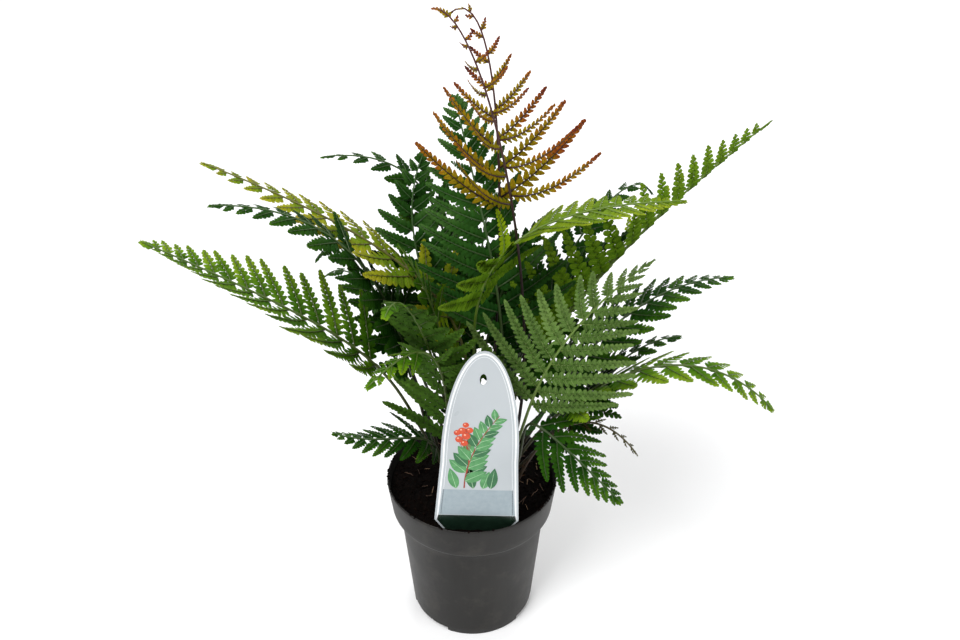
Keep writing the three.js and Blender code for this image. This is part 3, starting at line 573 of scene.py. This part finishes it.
def add_scales(shell, frond, path, dice):
    """Narrow brown scales on the lower part of a stipe."""
    for _ in range(SCALES):
        share = SCALED_SHARE * dice() ** 1.6
        place, forward, side, normal = path.frame(share)
        turn = dice() * 2 * pi
        out = side * cos(turn) + normal * sin(turn)
        beside = np.cross(forward, out)
        root = place + out * rachis_radius(share) * 0.9
        length = mix(1.6, 3.4, dice())
        tip = root + forward * length * 0.8 + out * length * mix(0.25, 0.7, dice())
        points = np.array([root + beside * 0.35, root - beside * 0.35, tip, root + out * 0.15])
        shell.add(points, [(0, 1, 2), (0, 2, 3), (1, 3, 2)], SCALE, (0, 0, dice()), (share, 0, dice()))


# Materials
def feed(tree, socket, value):
    """Links a socket to another, or sets its own value."""
    if isinstance(value, bpy.types.NodeSocket):
        tree.links.new(value, socket)
    elif value is not None:
        socket.default_value = value


def add_node(tree, kind, inputs, output=0, **settings):
    """An output of a new node, with its inputs fed by name or number."""
    node = tree.nodes.new("ShaderNode" + kind)
    for name, value in settings.items():
        setattr(node, name, value)
    for name, value in inputs.items():
        feed(tree, node.inputs[name], value)
    return node.outputs[output]


def calc(tree, operation, *values):
    return add_node(tree, "Math", dict(enumerate(values)), operation=operation)


def total(tree, start, *terms):
    """start, plus each value times its weight."""
    for value, weight in terms:
        start = calc(tree, "MULTIPLY_ADD", value, weight, start)
    return start


def rgba(hexa):
    """Linear colour of an sRGB number."""
    parts = [(hexa >> shift & 255) / 255 for shift in (16, 8, 0)]
    linear = [p / 12.92 if p < 0.04045 else ((p + 0.055) / 1.055) ** 2.4 for p in parts]
    return (*linear, 1)


def tint(tree, factor, a, b, mode="MIX"):
    """Mix of two colours, each a socket or an sRGB number."""
    a, b = (c if isinstance(c, bpy.types.NodeSocket) else rgba(c) for c in (a, b))
    return add_node(tree, "Mix", {"Factor": factor, 6: a, 7: b}, 2, data_type="RGBA", blend_type=mode)


def field(tree, name):
    """Three numbers that the mesh carries at each point."""
    vector = add_node(tree, "Attribute", {}, "Vector", attribute_name=name)
    return add_node(tree, "SeparateXYZ", {0: vector}, slice(3))


def cloud(tree, scale, detail=3, rough=0.5, stretch=None):
    """Noise in the object's own coordinates; scale is in waves per metre."""
    place = add_node(tree, "TexCoord", {}, "Object")
    if stretch:
        place = add_node(tree, "Mapping", {"Vector": place, "Scale": stretch})
    inputs = {"Vector": place, "Scale": scale, "Detail": detail, "Roughness": rough}
    return add_node(tree, "TexNoise", inputs, "Fac")


def span(tree, value, low, high, to_low=0, to_high=1):
    """A value carried from one range to another, and kept inside it."""
    inputs = {"Value": value, "From Min": low, "From Max": high, "To Min": to_low, "To Max": to_high}
    return add_node(tree, "MapRange", inputs, clamp=True)


def ramp(tree, factor, stops):
    node = tree.nodes.new("ShaderNodeValToRGB")
    elements = node.color_ramp.elements
    while len(elements) < len(stops):
        elements.new(0.5)
    for element, (position, colour) in zip(elements, stops.items()):
        element.position = position
        element.color = rgba(colour)
    feed(tree, node.inputs[0], factor)
    return node.outputs[0]


def bump(tree, shader, height, strength, distance):
    inputs = {"Strength": strength, "Distance": distance, "Height": height}
    feed(tree, shader.inputs["Normal"], add_node(tree, "Bump", inputs))


def paint(tree, shader, colour, rough, specular=None):
    feed(tree, shader.inputs["Base Color"], colour)
    feed(tree, shader.inputs["Roughness"], rough)
    feed(tree, shader.inputs["Specular IOR Level"], specular)


def new_material(name):
    material = bpy.data.materials.new(name)
    material.use_nodes = True
    tree = material.node_tree
    return material, tree, tree.nodes["Principled BSDF"]


# Colour of the light that comes through a leaf, and its share
LEAF_GLOW = 0x6a9a12
LEAF_LIGHT = 0.2


def leaf_material(name, stops, vein, rough, under=False):
    """Leaf surface: colour by place in the pinna, mottled, with veins and light through it."""
    material, tree, shader = new_material(name)
    u, v, luck = field(tree, "leaf")
    share, x, pinna_luck = field(tree, "place")
    patch = calc(tree, "SUBTRACT", cloud(tree, 60, 2), 0.5)
    pinna_luck = calc(tree, "SUBTRACT", pinna_luck, 0.5)
    spread = total(tree, 0, (x, 0.55), (u, 0.22), (share, 0.25), (patch, 0.9), (pinna_luck, 0.35))
    away = calc(tree, "ABSOLUTE", v)
    midrib = span(tree, away, 0.02, 0.16, 1, 0)
    wave = calc(tree, "SINE", total(tree, 0, (away, -7), (u, 30)))
    side = calc(tree, "POWER", total(tree, 0.5, (wave, 0.5)), 5)
    colour = tint(tree, total(tree, 0, (midrib, 0.55), (side, 0.25)), ramp(tree, spread, stops), vein)
    speckle = cloud(tree, 900, 2)
    bright = total(tree, 0.68, (speckle, 0.3), (luck, 0.3))
    grey = add_node(tree, "CombineColor", dict.fromkeys(range(3), bright))
    colour = tint(tree, 1, colour, grey, "MULTIPLY")
    rough = span(tree, speckle, 0.3, 0.7, rough - 0.06, rough + 0.1)
    paint(tree, shader, colour, rough, 0.04 if under else 0.05)
    height = total(tree, 0, (midrib, 1 if under else -1), (side, 0.4), (speckle, 0.35))
    bump(tree, shader, height, 0.5, 0.0004)
    light = add_node(tree, "BsdfTranslucent", {"Color": tint(tree, 0.5, colour, LEAF_GLOW)})
    both = add_node(tree, "MixShader", {0: LEAF_LIGHT, 1: shader.outputs[0], 2: light})
    feed(tree, tree.nodes["Material Output"].inputs["Surface"], both)
    return material


def stem_material(name, stops):
    """Stem colour from foot to tip, with long streaks."""
    material, tree, shader = new_material(name)
    grain = cloud(tree, 500, 3, 0.6, (1, 1, 0.25))
    factor = total(tree, field(tree, "place")[0], (calc(tree, "SUBTRACT", grain, 0.5), 0.35))
    paint(tree, shader, ramp(tree, factor, stops), span(tree, grain, 0.3, 0.7, 0.42, 0.62))
    bump(tree, shader, grain, 0.4, 0.0003)
    return material


def speck_material(name, stops, rough):
    """One colour for each scale or fibre, out of this range."""
    material, tree, shader = new_material(name)
    paint(tree, shader, ramp(tree, field(tree, "leaf")[2], stops), rough)
    return material


# Roughness and vein colour of each kind of frond, then its upper side, under side and stem by place
TONES = {
    "red": (
        0.5, 0x8a5c1e, {0: 0x7c7810, 0.4: 0x9c8410, 0.65: 0xa45c14, 0.85: 0x802a14, 1: 0x4c1218},
        {0: 0x66620f, 0.35: 0x7c6216, 0.6: 0x783818, 0.8: 0x5c1e1a, 1: 0x3a1014},
        {0: 0x160806, 0.6: 0x240b09, 1: 0x4a170e},
    ),
    "pale": (
        0.52, 0x82985a, {0: 0x1c480e, 0.5: 0x265c12, 1: 0x3a7418},
        {0: 0x3c5a20, 0.5: 0x557334, 1: 0x6c8844}, {0: 0x3c3012, 0.3: 0x4c621e, 1: 0x5e7a28},
    ),
    "bright": (
        0.48, 0x88a028, {0: 0x4a6804, 0.4: 0x628206, 0.75: 0x80960a, 1: 0x9cac1e},
        {0: 0x4a7010, 0.5: 0x5c8016, 1: 0x769424}, {0: 0x32200c, 0.3: 0x41560f, 1: 0x607c18},
    ),
    "bluish": (
        0.46, 0x2c5a28, {0: 0x10360a, 0.5: 0x2a5218, 1: 0x547a3a},
        {0: 0x2a4c20, 0.5: 0x365e2a, 1: 0x487038}, {0: 0x241206, 0.4: 0x2c3c12, 1: 0x385c28},
    ),
    "mid": (
        0.48, 0x42701e, {0: 0x244a06, 0.45: 0x3f6a0a, 0.8: 0x648a14, 1: 0x82a020},
        {0: 0x34521a, 0.5: 0x456620, 1: 0x587a2a}, {0: 0x28140a, 0.35: 0x384210, 1: 0x4a6618},
    ),
    "olive": (
        0.5, 0x84883a, {0: 0x38660a, 0.4: 0x6a860c, 0.75: 0xa0a01a, 1: 0xc4b43c},
        {0: 0x466218, 0.5: 0x5f7220, 1: 0x787c2c}, {0: 0x30200c, 0.4: 0x484810, 1: 0x62621c},
    ),
    "dark": (
        0.46, 0x22501a, {0: 0x0c2e04, 0.5: 0x1a4006, 0.85: 0x30580a, 1: 0x4a7216},
        {0: 0x24461a, 0.5: 0x305622, 1: 0x41682c}, {0: 0x241206, 0.4: 0x283610, 1: 0x305016},
    ),
    "withered": (
        0.6, 0x605c2e, {0: 0x36400e, 0.5: 0x444814, 1: 0x52481c},
        {0: 0x404418, 0.5: 0x4c4c1e, 1: 0x585224}, {0: 0x2a170c, 0.5: 0x3a2c12, 1: 0x464018},
    ),
}


def make_fronds():
    scales = speck_material("stipe_scales", {0: 0x2a160c, 1: 0x6b4526}, 0.6)
    looks = {}
    for tone, (rough, vein, upper, under, stem) in TONES.items():
        looks[tone] = [
            leaf_material("leaf_top_" + tone, upper, vein, rough),
            leaf_material("leaf_under_" + tone, under, vein, 0.6, under=True),
            stem_material("stem_" + tone, stem),
            scales,
        ]
    for index, frond in enumerate(FRONDS):
        dice = make_dice(index * LEAF_SEEDS[0] + LEAF_SEEDS[1])
        path = Rachis(frond)
        look = LOOKS[frond.tone]
        shell = Shell()
        add_rachis(shell, frond, path, dice())
        for pinna in plan_pinnae(index, frond, path):
            add_pinna(shell, pinna, look, dice)
        add_tip(shell, frond, path, look, dice)
        add_scales(shell, frond, path, dice)
        piece = shell.build("fern_" + frond.name, looks[frond.tone])
        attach(piece, "root")
        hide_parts("frond_" + frond.name)


make_fronds()


# Pot. A drain notch lifts these rows of its profile; its wall and collar are cut into this many steps
NOTCH_ROWS = range(6, 12)
WALL_ROWS = 14
COLLAR_ROWS = 7
WELD_DISTANCE = 0.02
SHARP_ANGLE = 38


def pot_profile():
    """Radius and height from the middle of the underside round to the middle of the floor."""
    rows = [(0, 1), (20, 1), (36.5, 1), (37.4, 0.5), (37.8, 0), (39.6, 0), (40, 0), (40.1, 0), (42, 0)]
    rows += [(43.9, 0), (44.3, 0.15), (44.55, 0.7)]
    for i in range(1, WALL_ROWS):
        s = i / WALL_ROWS
        rows.append((mix(BASE_RADIUS, STEP_RADIUS, s), mix(0.7, STEP_HEIGHT - 1.5, s)))
    rows += [(51.85, 87.2), (52.3, 88.1), (53.2, 88.8), (54.6, 89.4), (55.7, 89.9), (56.5, 90.5)]
    rows += [(57, 91.3), (57.25, 92.3)]
    for i in range(1, COLLAR_ROWS):
        rows.append((mix(57.3, 59.8, i / COLLAR_ROWS), mix(93, 113, i / COLLAR_ROWS)))
    rows += [(59.85, 113.6), (59.8, 114.4), (59.55, 114.85), (59.3, 115), (58.95, 114.9), (58.7, 114.5)]
    rows += [(58.6, 113.8), (57.6, 108), (56.6, 100), (55.8, 93.2), (50.4, 89.4), (46.8, 45), (43.2, 2.4)]
    return rows + [(42.6, 2), (20, 2), (0, 2)]


def make_pot():
    profile = pot_profile()
    angles = set(np.linspace(0, 360, 181)[:-1].tolist())
    for i in range(3):
        for edge in (NOTCH_START + 120 * i, NOTCH_START + 120 * i + NOTCH_SWEEP):
            angles.update(((edge - 0.5) % 360, (edge + 0.5) % 360))
    angles = sorted(angles)
    points = []
    for angle in angles:
        notched = 0 < (angle - NOTCH_START) % 120 < NOTCH_SWEEP
        for k, (radius, height) in enumerate(profile):
            height = NOTCH_HEIGHT if notched and k in NOTCH_ROWS else height
            points.append((*polar(radius, radians(angle)), height))
    n, rows = len(angles), len(profile)
    faces = []
    for i in range(n):
        j = (i + 1) % n
        for k in range(rows - 1):
            a, b, c, d = i * rows + k, j * rows + k, j * rows + k + 1, i * rows + k + 1
            if k > 0:
                faces.append((a, c, b))
            if k < rows - 2:
                faces.append((a, d, c))
    shell = Shell()
    shell.add(np.array(points, float), np.array(faces)[:, ::-1], 0)
    pot = shell.build("nursery_pot", [pot_material()])
    weld(pot.data)
    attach(pot, "root")
    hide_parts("pot")


def weld(data):
    """Joins the points that meet, and leaves hard edges where faces meet sharply."""
    mesh = bmesh.new()
    mesh.from_mesh(data)
    bmesh.ops.remove_doubles(mesh, verts=mesh.verts, dist=WELD_DISTANCE * MM)
    bmesh.ops.dissolve_degenerate(mesh, edges=mesh.edges, dist=WELD_DISTANCE * MM)
    bmesh.ops.recalc_face_normals(mesh, faces=mesh.faces)
    mesh.to_mesh(data)
    mesh.free()
    data.shade_smooth()
    data.set_sharp_from_angle(angle=radians(SHARP_ANGLE))


def pot_material():
    """Dull dark plastic with faint streaks down the wall and dust."""
    material, tree, shader = new_material("pot_plastic")
    cloudy = cloud(tree, 14, 4, 0.6)
    streak = cloud(tree, 60, 3, 0.6, (1, 1, 0.12))
    dust = span(tree, cloud(tree, 45, 6, 0.7), 0.52, 0.72, 0, 0.3)
    colour = tint(tree, cloudy, 0x1d1c1b, 0x252422)
    colour = tint(tree, span(tree, streak, 0.45, 0.75, 0, 0.25), colour, 0x383734)
    colour = tint(tree, dust, colour, 0x4a4640)
    paint(tree, shader, colour, span(tree, cloudy, 0.3, 0.7, 0.4, 0.54), 0.2)
    bump(tree, shader, total(tree, cloud(tree, 1800, 2), (streak, 0.8)), 0.18, 0.0002)
    return material


make_pot()


# Soil. Its roughness is a sum of waves, each with its pace across the surface, its seed and its height
SOIL_WAVES = ((0.13, 3.1, 1.3), (0.45, 7.7, 0.8), (1.3, 1.3, 0.35))
SOIL_STEPS = 150
SOIL_RINGS = [0.5 * i for i in range(2, 115)]
SOIL_SIDE = ((55.2, 93.2), (50, 89.8), (42.9, 2.3))
LUMPS = 1700
LUMP_REACH = 57.4
FIBRES = 70
FIBRE_REACH = 56
ROUND = 6.283


def soil_top(x, y):
    radius, angle = hypot(x, y), atan2(y, x)
    swell = SOIL_RISE * (1 - (radius / RIM_RADIUS) ** 2)
    lump = sin(angle * 5 + radius * 0.21) + sin(angle * 3 - radius * 0.33)
    level = SOIL_EDGE_HEIGHT + swell + SOIL_LUMP * 0.5 * lump * min(1, radius / 20)
    rough = sum(noise.noise(Vector((x * pace, y * pace, seed))) * high for pace, seed, high in SOIL_WAVES)
    return level + rough * min(1, (58.5 - radius) / 3)


def make_soil():
    turns = [2 * pi * j / SOIL_STEPS for j in range(SOIL_STEPS)]
    points = [(0, 0, soil_top(0.01, 0))]
    for radius in SOIL_RINGS:
        for x, y in (polar(radius, turn) for turn in turns):
            points.append((x, y, soil_top(x, y)))
    for radius, height in SOIL_SIDE:
        points += [(*polar(radius, turn), height) for turn in turns]
    points.append((0, 0, SOIL_SIDE[-1][1]))
    shell = Shell()
    faces = tube_faces(len(SOIL_RINGS) + len(SOIL_SIDE), SOIL_STEPS)
    shell.add(np.array(points, float), faces[:, ::-1], 0)
    dice = make_dice(4242)
    for _ in range(LUMPS):
        radius = 57 * sqrt(dice())
        x, y = polar(radius, dice() * 2 * pi)
        size = mix(0.45, 1.7, dice() ** 2.2)
        if abs(y - LABEL_Y) < 1.2 + size or radius + size > LUMP_REACH:
            continue
        add_lump(shell, (x, y, soil_top(x, y) + size * 0.15), size, dice)
    for _ in range(FIBRES):
        add_fibre(shell, dice)
    fibre = speck_material("root_fibre", {0: 0x2b1c14, 0.7: 0x5a4130, 1: 0x9a7d60}, 0.8)
    soil = shell.build("peat_soil", [peat_material(), fibre])
    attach(soil, "root")
    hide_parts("soil")


@functools.cache
def icosahedron():
    """Its twelve points, 1 from the middle, and its faces."""
    g = (1 + sqrt(5)) / 2
    pairs = [(a, b) for b in (g, -g) for a in (-1, 1)]
    rows = [(a, b, 0) for a, b in pairs] + [(0, a, b) for a, b in pairs] + [(b, 0, a) for a, b in pairs]
    points = np.array(rows) / sqrt(1 + g * g)
    edge = 1.1
    faces = []
    for face in itertools.combinations(range(12), 3):
        corners = points[list(face)]
        if np.linalg.norm(corners - np.roll(corners, 1, axis=0), axis=1).max() < edge:
            faces.append(face if np.linalg.det(corners) > 0 else face[::-1])
    return points, np.array(faces)


def add_lump(shell, centre, size, dice):
    """A rough grain of peat."""
    points, faces = icosahedron()
    turn, tip = dice() * ROUND, dice() * ROUND
    c, s = cos(turn), sin(turn)
    d, t = cos(tip), sin(tip)
    spin = np.array([[c, -s, 0], [s, c, 0], [0, 0, 1]]) @ np.array([[1, 0, 0], [0, d, -t], [0, t, d]])
    stretch = np.array([1, mix(0.5, 0.9, dice()), mix(0.4, 0.8, dice())])
    jitter = np.array([mix(0.75, 1.15, dice()) for _ in range(12)])[:, None]
    shell.add((points * jitter * stretch * size) @ spin.T + np.array(centre), faces, 0, (0, 0, dice()))


def add_fibre(shell, dice):
    """A thin root or bark fibre lying on the soil."""
    x, y = polar(50 * sqrt(dice()), dice() * ROUND)
    way = dice() * ROUND
    length = mix(4, 13, dice() ** 2)
    centres = []
    for i in range(7):
        s = (i / 6 - 0.5) * length
        a = way + (i / 6) * mix(-0.2, 0.2, dice())
        px, py = x + s * cos(a), y + s * sin(a)
        if hypot(px, py) > FIBRE_REACH or abs(py - LABEL_Y) < 2:
            return
        centres.append(np.array([px, py, soil_top(px, py) + 0.35]))
    side = [np.array([-sin(way), cos(way), 0.0])] * 7
    size = mix(0.14, 0.36, dice())
    points, faces = tube(centres, side, [UP] * 7, [size] * 7, 5)
    shell.add(points, faces[:, ::-1], 1, (0, 0, dice()))


def peat_material():
    """Nearly black crumbly peat with paler grains."""
    material, tree, shader = new_material("peat")
    grain = cloud(tree, 420, 6, 0.7)
    colour = ramp(tree, grain, {0.25: 0x020101, 0.5: 0x070403, 0.7: 0x120a07, 0.85: 0x24160f})
    pale = calc(tree, "MULTIPLY", field(tree, "leaf")[2], 0.3)
    paint(tree, shader, tint(tree, pale, colour, 0x24140d), 0.92, 0.05)
    bump(tree, shader, cloud(tree, 900, 5, 0.7), 0.9, 0.0009)
    return material


make_soil()


# Crumbs of peat on the rim: between which angles they lie, and how many
CRUMBS = ((140, 212, 90), (318, 366, 64), (30, 120, 22), (215, 318, 26))


def make_crumbs():
    dice = make_dice(99)
    shell = Shell()
    for low, high, count in CRUMBS:
        for _ in range(count):
            turn = radians(mix(low, high, dice()))
            size = mix(0.3, 1.15, dice() ** 2)
            radius = mix(58.8, 59.7, dice())
            add_lump(shell, (*polar(radius, turn), POT_HEIGHT + size * 0.2), size, dice)
    crumbs = shell.build("rim_crumbs", [peat_material()])
    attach(crumbs, "root")


make_crumbs()


# Label
LABEL_EDGE = 0.12
ARCH_STEPS = 48
SLOT_STEPS = 28


def label_outline(inset, foot=True):
    """Outline of the tag as (x, z) pairs, counted up the right side and down the left."""
    right = [(LABEL_FOOT[0] - inset, LABEL_FOOT[1] + inset)] if foot else []
    right.append((LABEL_RIM[0] - inset, LABEL_RIM[1]))
    top = LABEL_TOP_HEIGHT - inset
    half = LABEL_SHOULDER[0] - inset
    for i in range(ARCH_STEPS):
        turn = pi / 2 * i / ARCH_STEPS
        right.append((half * cos(turn), mix(LABEL_SHOULDER[1], top, sin(turn))))
    left = [(-x, z) for x, z in reversed(right)]
    return right + [(0, top)] + left


def on_label(x, z, depth):
    """A place on the tag: x and z in its own plane, depth in front of its middle."""
    lean = radians(LABEL_LEAN)
    up = z - LABEL_RIM[1]
    return (
        LABEL_CENTRE_X + x * cos(lean) + up * sin(lean),
        LABEL_Y - depth,
        LABEL_RIM[1] + up * cos(lean) - x * sin(lean),
    )


def make_label():
    curve = bpy.data.curves.new("plant_label", "CURVE")
    curve.dimensions = "2D"
    curve.fill_mode = "BOTH"
    curve.extrude = (LABEL_THICKNESS / 2 - LABEL_EDGE) * MM
    curve.bevel_depth = LABEL_EDGE * MM
    curve.bevel_resolution = 1
    turns = [-2 * pi * i / SLOT_STEPS for i in range(SLOT_STEPS)]
    wide, high = LABEL_SLOT_HALF
    slot = [(wide * cos(turn), LABEL_SLOT_HEIGHT + high * sin(turn)) for turn in turns]
    for outline in (label_outline(LABEL_EDGE), slot):
        spline = curve.splines.new("POLY")
        spline.points.add(len(outline) - 1)
        for point, (x, z) in zip(spline.points, outline):
            point.co = (x * MM, (z - LABEL_RIM[1]) * MM, 0, 1)
        spline.use_cyclic_u = True
    maker = put("plant_label_outline", curve)
    bpy.context.view_layer.update()
    mesh = bpy.data.meshes.new_from_object(maker.evaluated_get(bpy.context.evaluated_depsgraph_get()))
    bpy.data.objects.remove(maker)
    for corner in mesh.vertices:
        x, z, depth = corner.co.x / MM, corner.co.y / MM + LABEL_RIM[1], corner.co.z / MM
        corner.co = Vector(on_label(x, z, depth)) * MM
    mesh.materials.clear()
    mesh.materials.append(label_material())
    label = put("plant_label", mesh)
    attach(label, "root")
    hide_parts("label")


def label_material():
    material, tree, shader = new_material("tag_plastic")
    soft = cloud(tree, 25, 3)
    colour = tint(tree, soft, 0xaab0b4, 0xb6bcbf)
    paint(tree, shader, colour, span(tree, soft, 0.3, 0.7, 0.26, 0.36))
    bump(tree, shader, cloud(tree, 90, 2), 0.15, 0.0004)
    return material


def ink(name, low, high):
    material, tree, shader = new_material(name)
    paint(tree, shader, tint(tree, span(tree, cloud(tree, 260, 4, 0.6), 0.3, 0.7), low, high), 0.3)
    return material


# Inks of the printed picture, each from its darkest to its palest
INKS = {
    "white": (0xdfe3e5, 0xeceeef), "panel": (0x8d9ba2, 0x98a5ab), "band": (0x0c1a12, 0x16281d),
    "green": (0x3a7c46, 0x5a9a5e), "deep": (0x1f5a34, 0x2f7040), "stalk": (0x84301a, 0x9c3c20),
    "berry": (0xb83414, 0xd04e22), "shine": (0xe8a080, 0xf0b89c), "rib": (0x9cc49a, 0xb0d2ac),
}
WHITE, PANEL, BAND, GREEN, DEEP, STALK, BERRY, SHINE, RIB = range(9)

# Each printed shape lies this much in front of the one under it
LAYER = 0.018
MOST_LAYERS = 9
RIB_LENGTH = 0.86
LEAF_STEPS = 9
PICTURE_EDGE = 4.6
PICTURE_FOOT = 143.5


class Print:
    """Flat printed shapes on the face of the tag."""

    def __init__(self):
        self.shell = Shell()
        self.layer = 1

    def step(self):
        """Goes on to the next pair of layers, or back to the lowest pair of them."""
        self.layer = 2 if self.layer > MOST_LAYERS else self.layer + 1

    def fill(self, outline, slot):
        """A shape that can be seen whole from its own middle."""
        n = len(outline)
        points = [np.mean(np.array(outline), axis=0), *outline]
        self.add(points, [(0, 1 + i, 1 + (i + 1) % n) for i in range(n)], slot)

    def band(self, line, width, slot):
        """A line of this width; width may be a function of the share along it."""
        places = np.array(line, float)
        n = len(places)
        points, faces = [], []
        for i in range(n):
            way = unit(places[min(i + 1, n - 1)] - places[max(i - 1, 0)])
            half = (width(i / (n - 1)) if callable(width) else width) / 2
            across = np.array([-way[1], way[0]]) * half
            points += [places[i] + across, places[i] - across]
        for a in range(0, 2 * n - 2, 2):
            faces += [(a, a + 1, a + 3), (a, a + 3, a + 2)]
        self.add(points, faces, slot)

    def add(self, points, faces, slot):
        depth = LABEL_THICKNESS / 2 + LAYER * self.layer
        points = np.array([on_label(x, z, depth) for x, z in points], float)
        faces = np.array(faces)
        a, b, c = points[faces[0]]
        if np.cross(b - a, c - a)[1] > 0:
            faces = faces[:, ::-1]
        self.shell.add(points, faces, slot)


def leaf_outline(foot, way, length, half):
    """Pointed oval leaf from its foot along a direction in degrees."""
    along = np.array(polar(1, radians(way)))
    beside = np.array([-along[1], along[0]])
    shares = [i / LEAF_STEPS for i in range(LEAF_STEPS + 1)]
    line = []
    for side, rows in ((1, shares), (-1, shares[::-1][1:-1])):
        for s in rows:
            wide = half * sin(pi * s ** 0.8) ** 0.9 if 0 < s < 1 else 0
            line.append(tuple(np.array(foot) + along * s * length + beside * side * wide))
    return line


def inside_picture(outline):
    """Whether a printed shape keeps clear of the white border."""
    for x, z in outline:
        rise = max(0, (z - LABEL_SHOULDER[1]) / (LABEL_TOP_HEIGHT - LABEL_SHOULDER[1]))
        if abs(x) > LABEL_SHOULDER[0] * sqrt(1 - rise * rise) - PICTURE_EDGE or z < PICTURE_FOOT:
            return False
    return True


def circle(x, z, radius, steps=16):
    turns = [2 * pi * i / steps for i in range(steps)]
    return [(x + radius * cos(t), z + radius * sin(t)) for t in turns]


def print_leaf(art, foot, way, length, half, slot):
    """A leaf with its midrib, where it fits the picture."""
    outline = leaf_outline(foot, way, length, half)
    if inside_picture(outline):
        art.step()
        art.fill(outline, slot)
        x, z = polar(RIB_LENGTH * length, radians(way))
        art.layer += 1
        art.band([foot, (foot[0] + x, foot[1] + z)], lambda s: mix(0.36, 0.12, s), RIB)


def print_sprig(art):
    """A stem that curves up to the right, with oval leaves on both sides."""
    def stem(s):
        return (-9 + 20 * s * s, PICTURE_FOOT + 1 + 58 * s)
    art.band([stem(s) for s in np.linspace(0, 1, 14)], lambda s: mix(0.9, 0.35, s), STALK)
    for i in range(10):
        s = 0.1 + 0.09 * i
        heading = degrees(atan2(58, 40 * s))
        for side in (1, -1):
            at = stem(s + (0.03 if side > 0 else 0))
            length = mix(17, 8, s)
            slot = GREEN if (i + side) % 3 else DEEP
            print_leaf(art, at, heading + side * mix(58, 38, s), length, length * 0.26, slot)


def print_low_leaves(art):
    """A row of leaves that fans out of the picture's foot."""
    for i, x in enumerate((-19, -14, -3, 3, 8, 13, 18)):
        way = mix(122, 58, (x + 19) / 37) + (-8 if i % 2 else 8)
        print_leaf(art, (x, PICTURE_FOOT + 0.4), way, mix(15, 20, i % 3 / 2), 3.4, (DEEP, GREEN)[i % 2])


def print_berries(art):
    """A cluster of round berries on thin stalks at the upper left."""
    cluster = ((-13.2, 184, 2.5), (-9, 186.5, 2.7), (-11.5, 190.5, 2.6), (-6.2, 182.5, 2.3),
               (-7, 191, 2.3), (-14.6, 189, 2.1), (-10, 181, 2.3), (-9.4, 195, 2))
    knot = (-7.5, 172)
    for x, z, size in cluster:
        art.band([(x, z - size), (mix(x, knot[0], 0.5), z - 8), knot], 0.3, STALK)
    art.band([knot, (-6.6, 165), (-7.6, 157)], 0.6, STALK)
    for x, z, size in cluster:
        art.step()
        art.fill(circle(x, z, size), BERRY)
        art.layer += 1
        art.fill(circle(x - 0.3 * size, z + 0.35 * size, 0.25 * size, 8), SHINE)


def make_print():
    art = Print()
    art.band(label_outline(1.9, foot=False), 1.1, WHITE)
    art.band(label_outline(3.9, foot=False), 0.25, WHITE)
    art.fill([(-22.6, 143), (22.6, 143), (25.2, 121.5), (-25.2, 121.5)], PANEL)
    art.fill([(-25.4, 121), (25.4, 121), (26.2, 117), (19.2, 107), (-19.2, 107), (-26.2, 117)], BAND)
    print_low_leaves(art)
    print_sprig(art)
    print_berries(art)
    inks = [ink("ink_" + name, *tones) for name, tones in INKS.items()]
    printed = art.shell.build("label_print", inks)
    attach(printed, "root")


make_label()
make_print()


# Studio: pale floor, soft light, camera at the photograph's angle
LIGHT_AIM = Vector((0, 0, 0.2))


def make_floor():
    bpy.ops.mesh.primitive_plane_add(size=14)
    floor = bpy.context.object
    floor.name = "studio_floor"
    floor.location = (0, 4, -0.0002)
    material, tree, shader = new_material("studio_floor")
    paint(tree, shader, (0.93, 0.93, 0.935, 1), 0.9, 0.1)
    place = add_node(tree, "TexCoord", {}, "Object")
    depth = add_node(tree, "SeparateXYZ", {0: place}, 1)
    feed(tree, shader.inputs["Emission Color"], (1, 1, 1, 1))
    feed(tree, shader.inputs["Emission Strength"], span(tree, depth, -3.4, -1.5, 0, 0.4))
    floor.data.materials.append(material)


def soft_light(name, place, size, power):
    light = bpy.data.lights.new(name, "AREA")
    light.shape = "SQUARE"
    light.size = size
    light.energy = power
    lamp = put(name, light)
    lamp.location = place
    lamp.rotation_euler = (LIGHT_AIM - Vector(place)).to_track_quat("-Z", "Y").to_euler()


make_floor()
soft_light("key_light", (-0.9, -1.1, 2.1), 1.1, 46)
soft_light("fill_light", (1.5, -1, 1.2), 1.2, 12)
soft_light("back_light", (0.3, 1.7, 1.6), 1.4, 20)

world = bpy.data.worlds.new("studio")
scene.world = world
world.use_nodes = True
background = world.node_tree.nodes["Background"]
background.inputs["Color"].default_value = (1, 1, 1, 1)
background.inputs["Strength"].default_value = 0.55

camera_data = bpy.data.cameras.new("camera")
camera_data.lens = 33.75
camera_data.sensor_width = 36
camera = put("camera", camera_data)
camera.location = (0, -0.492, 0.534)
camera.rotation_euler = (radians(59.2), 0, radians(-0.66))
scene.camera = camera
scene.view_settings.view_transform = "Standard"
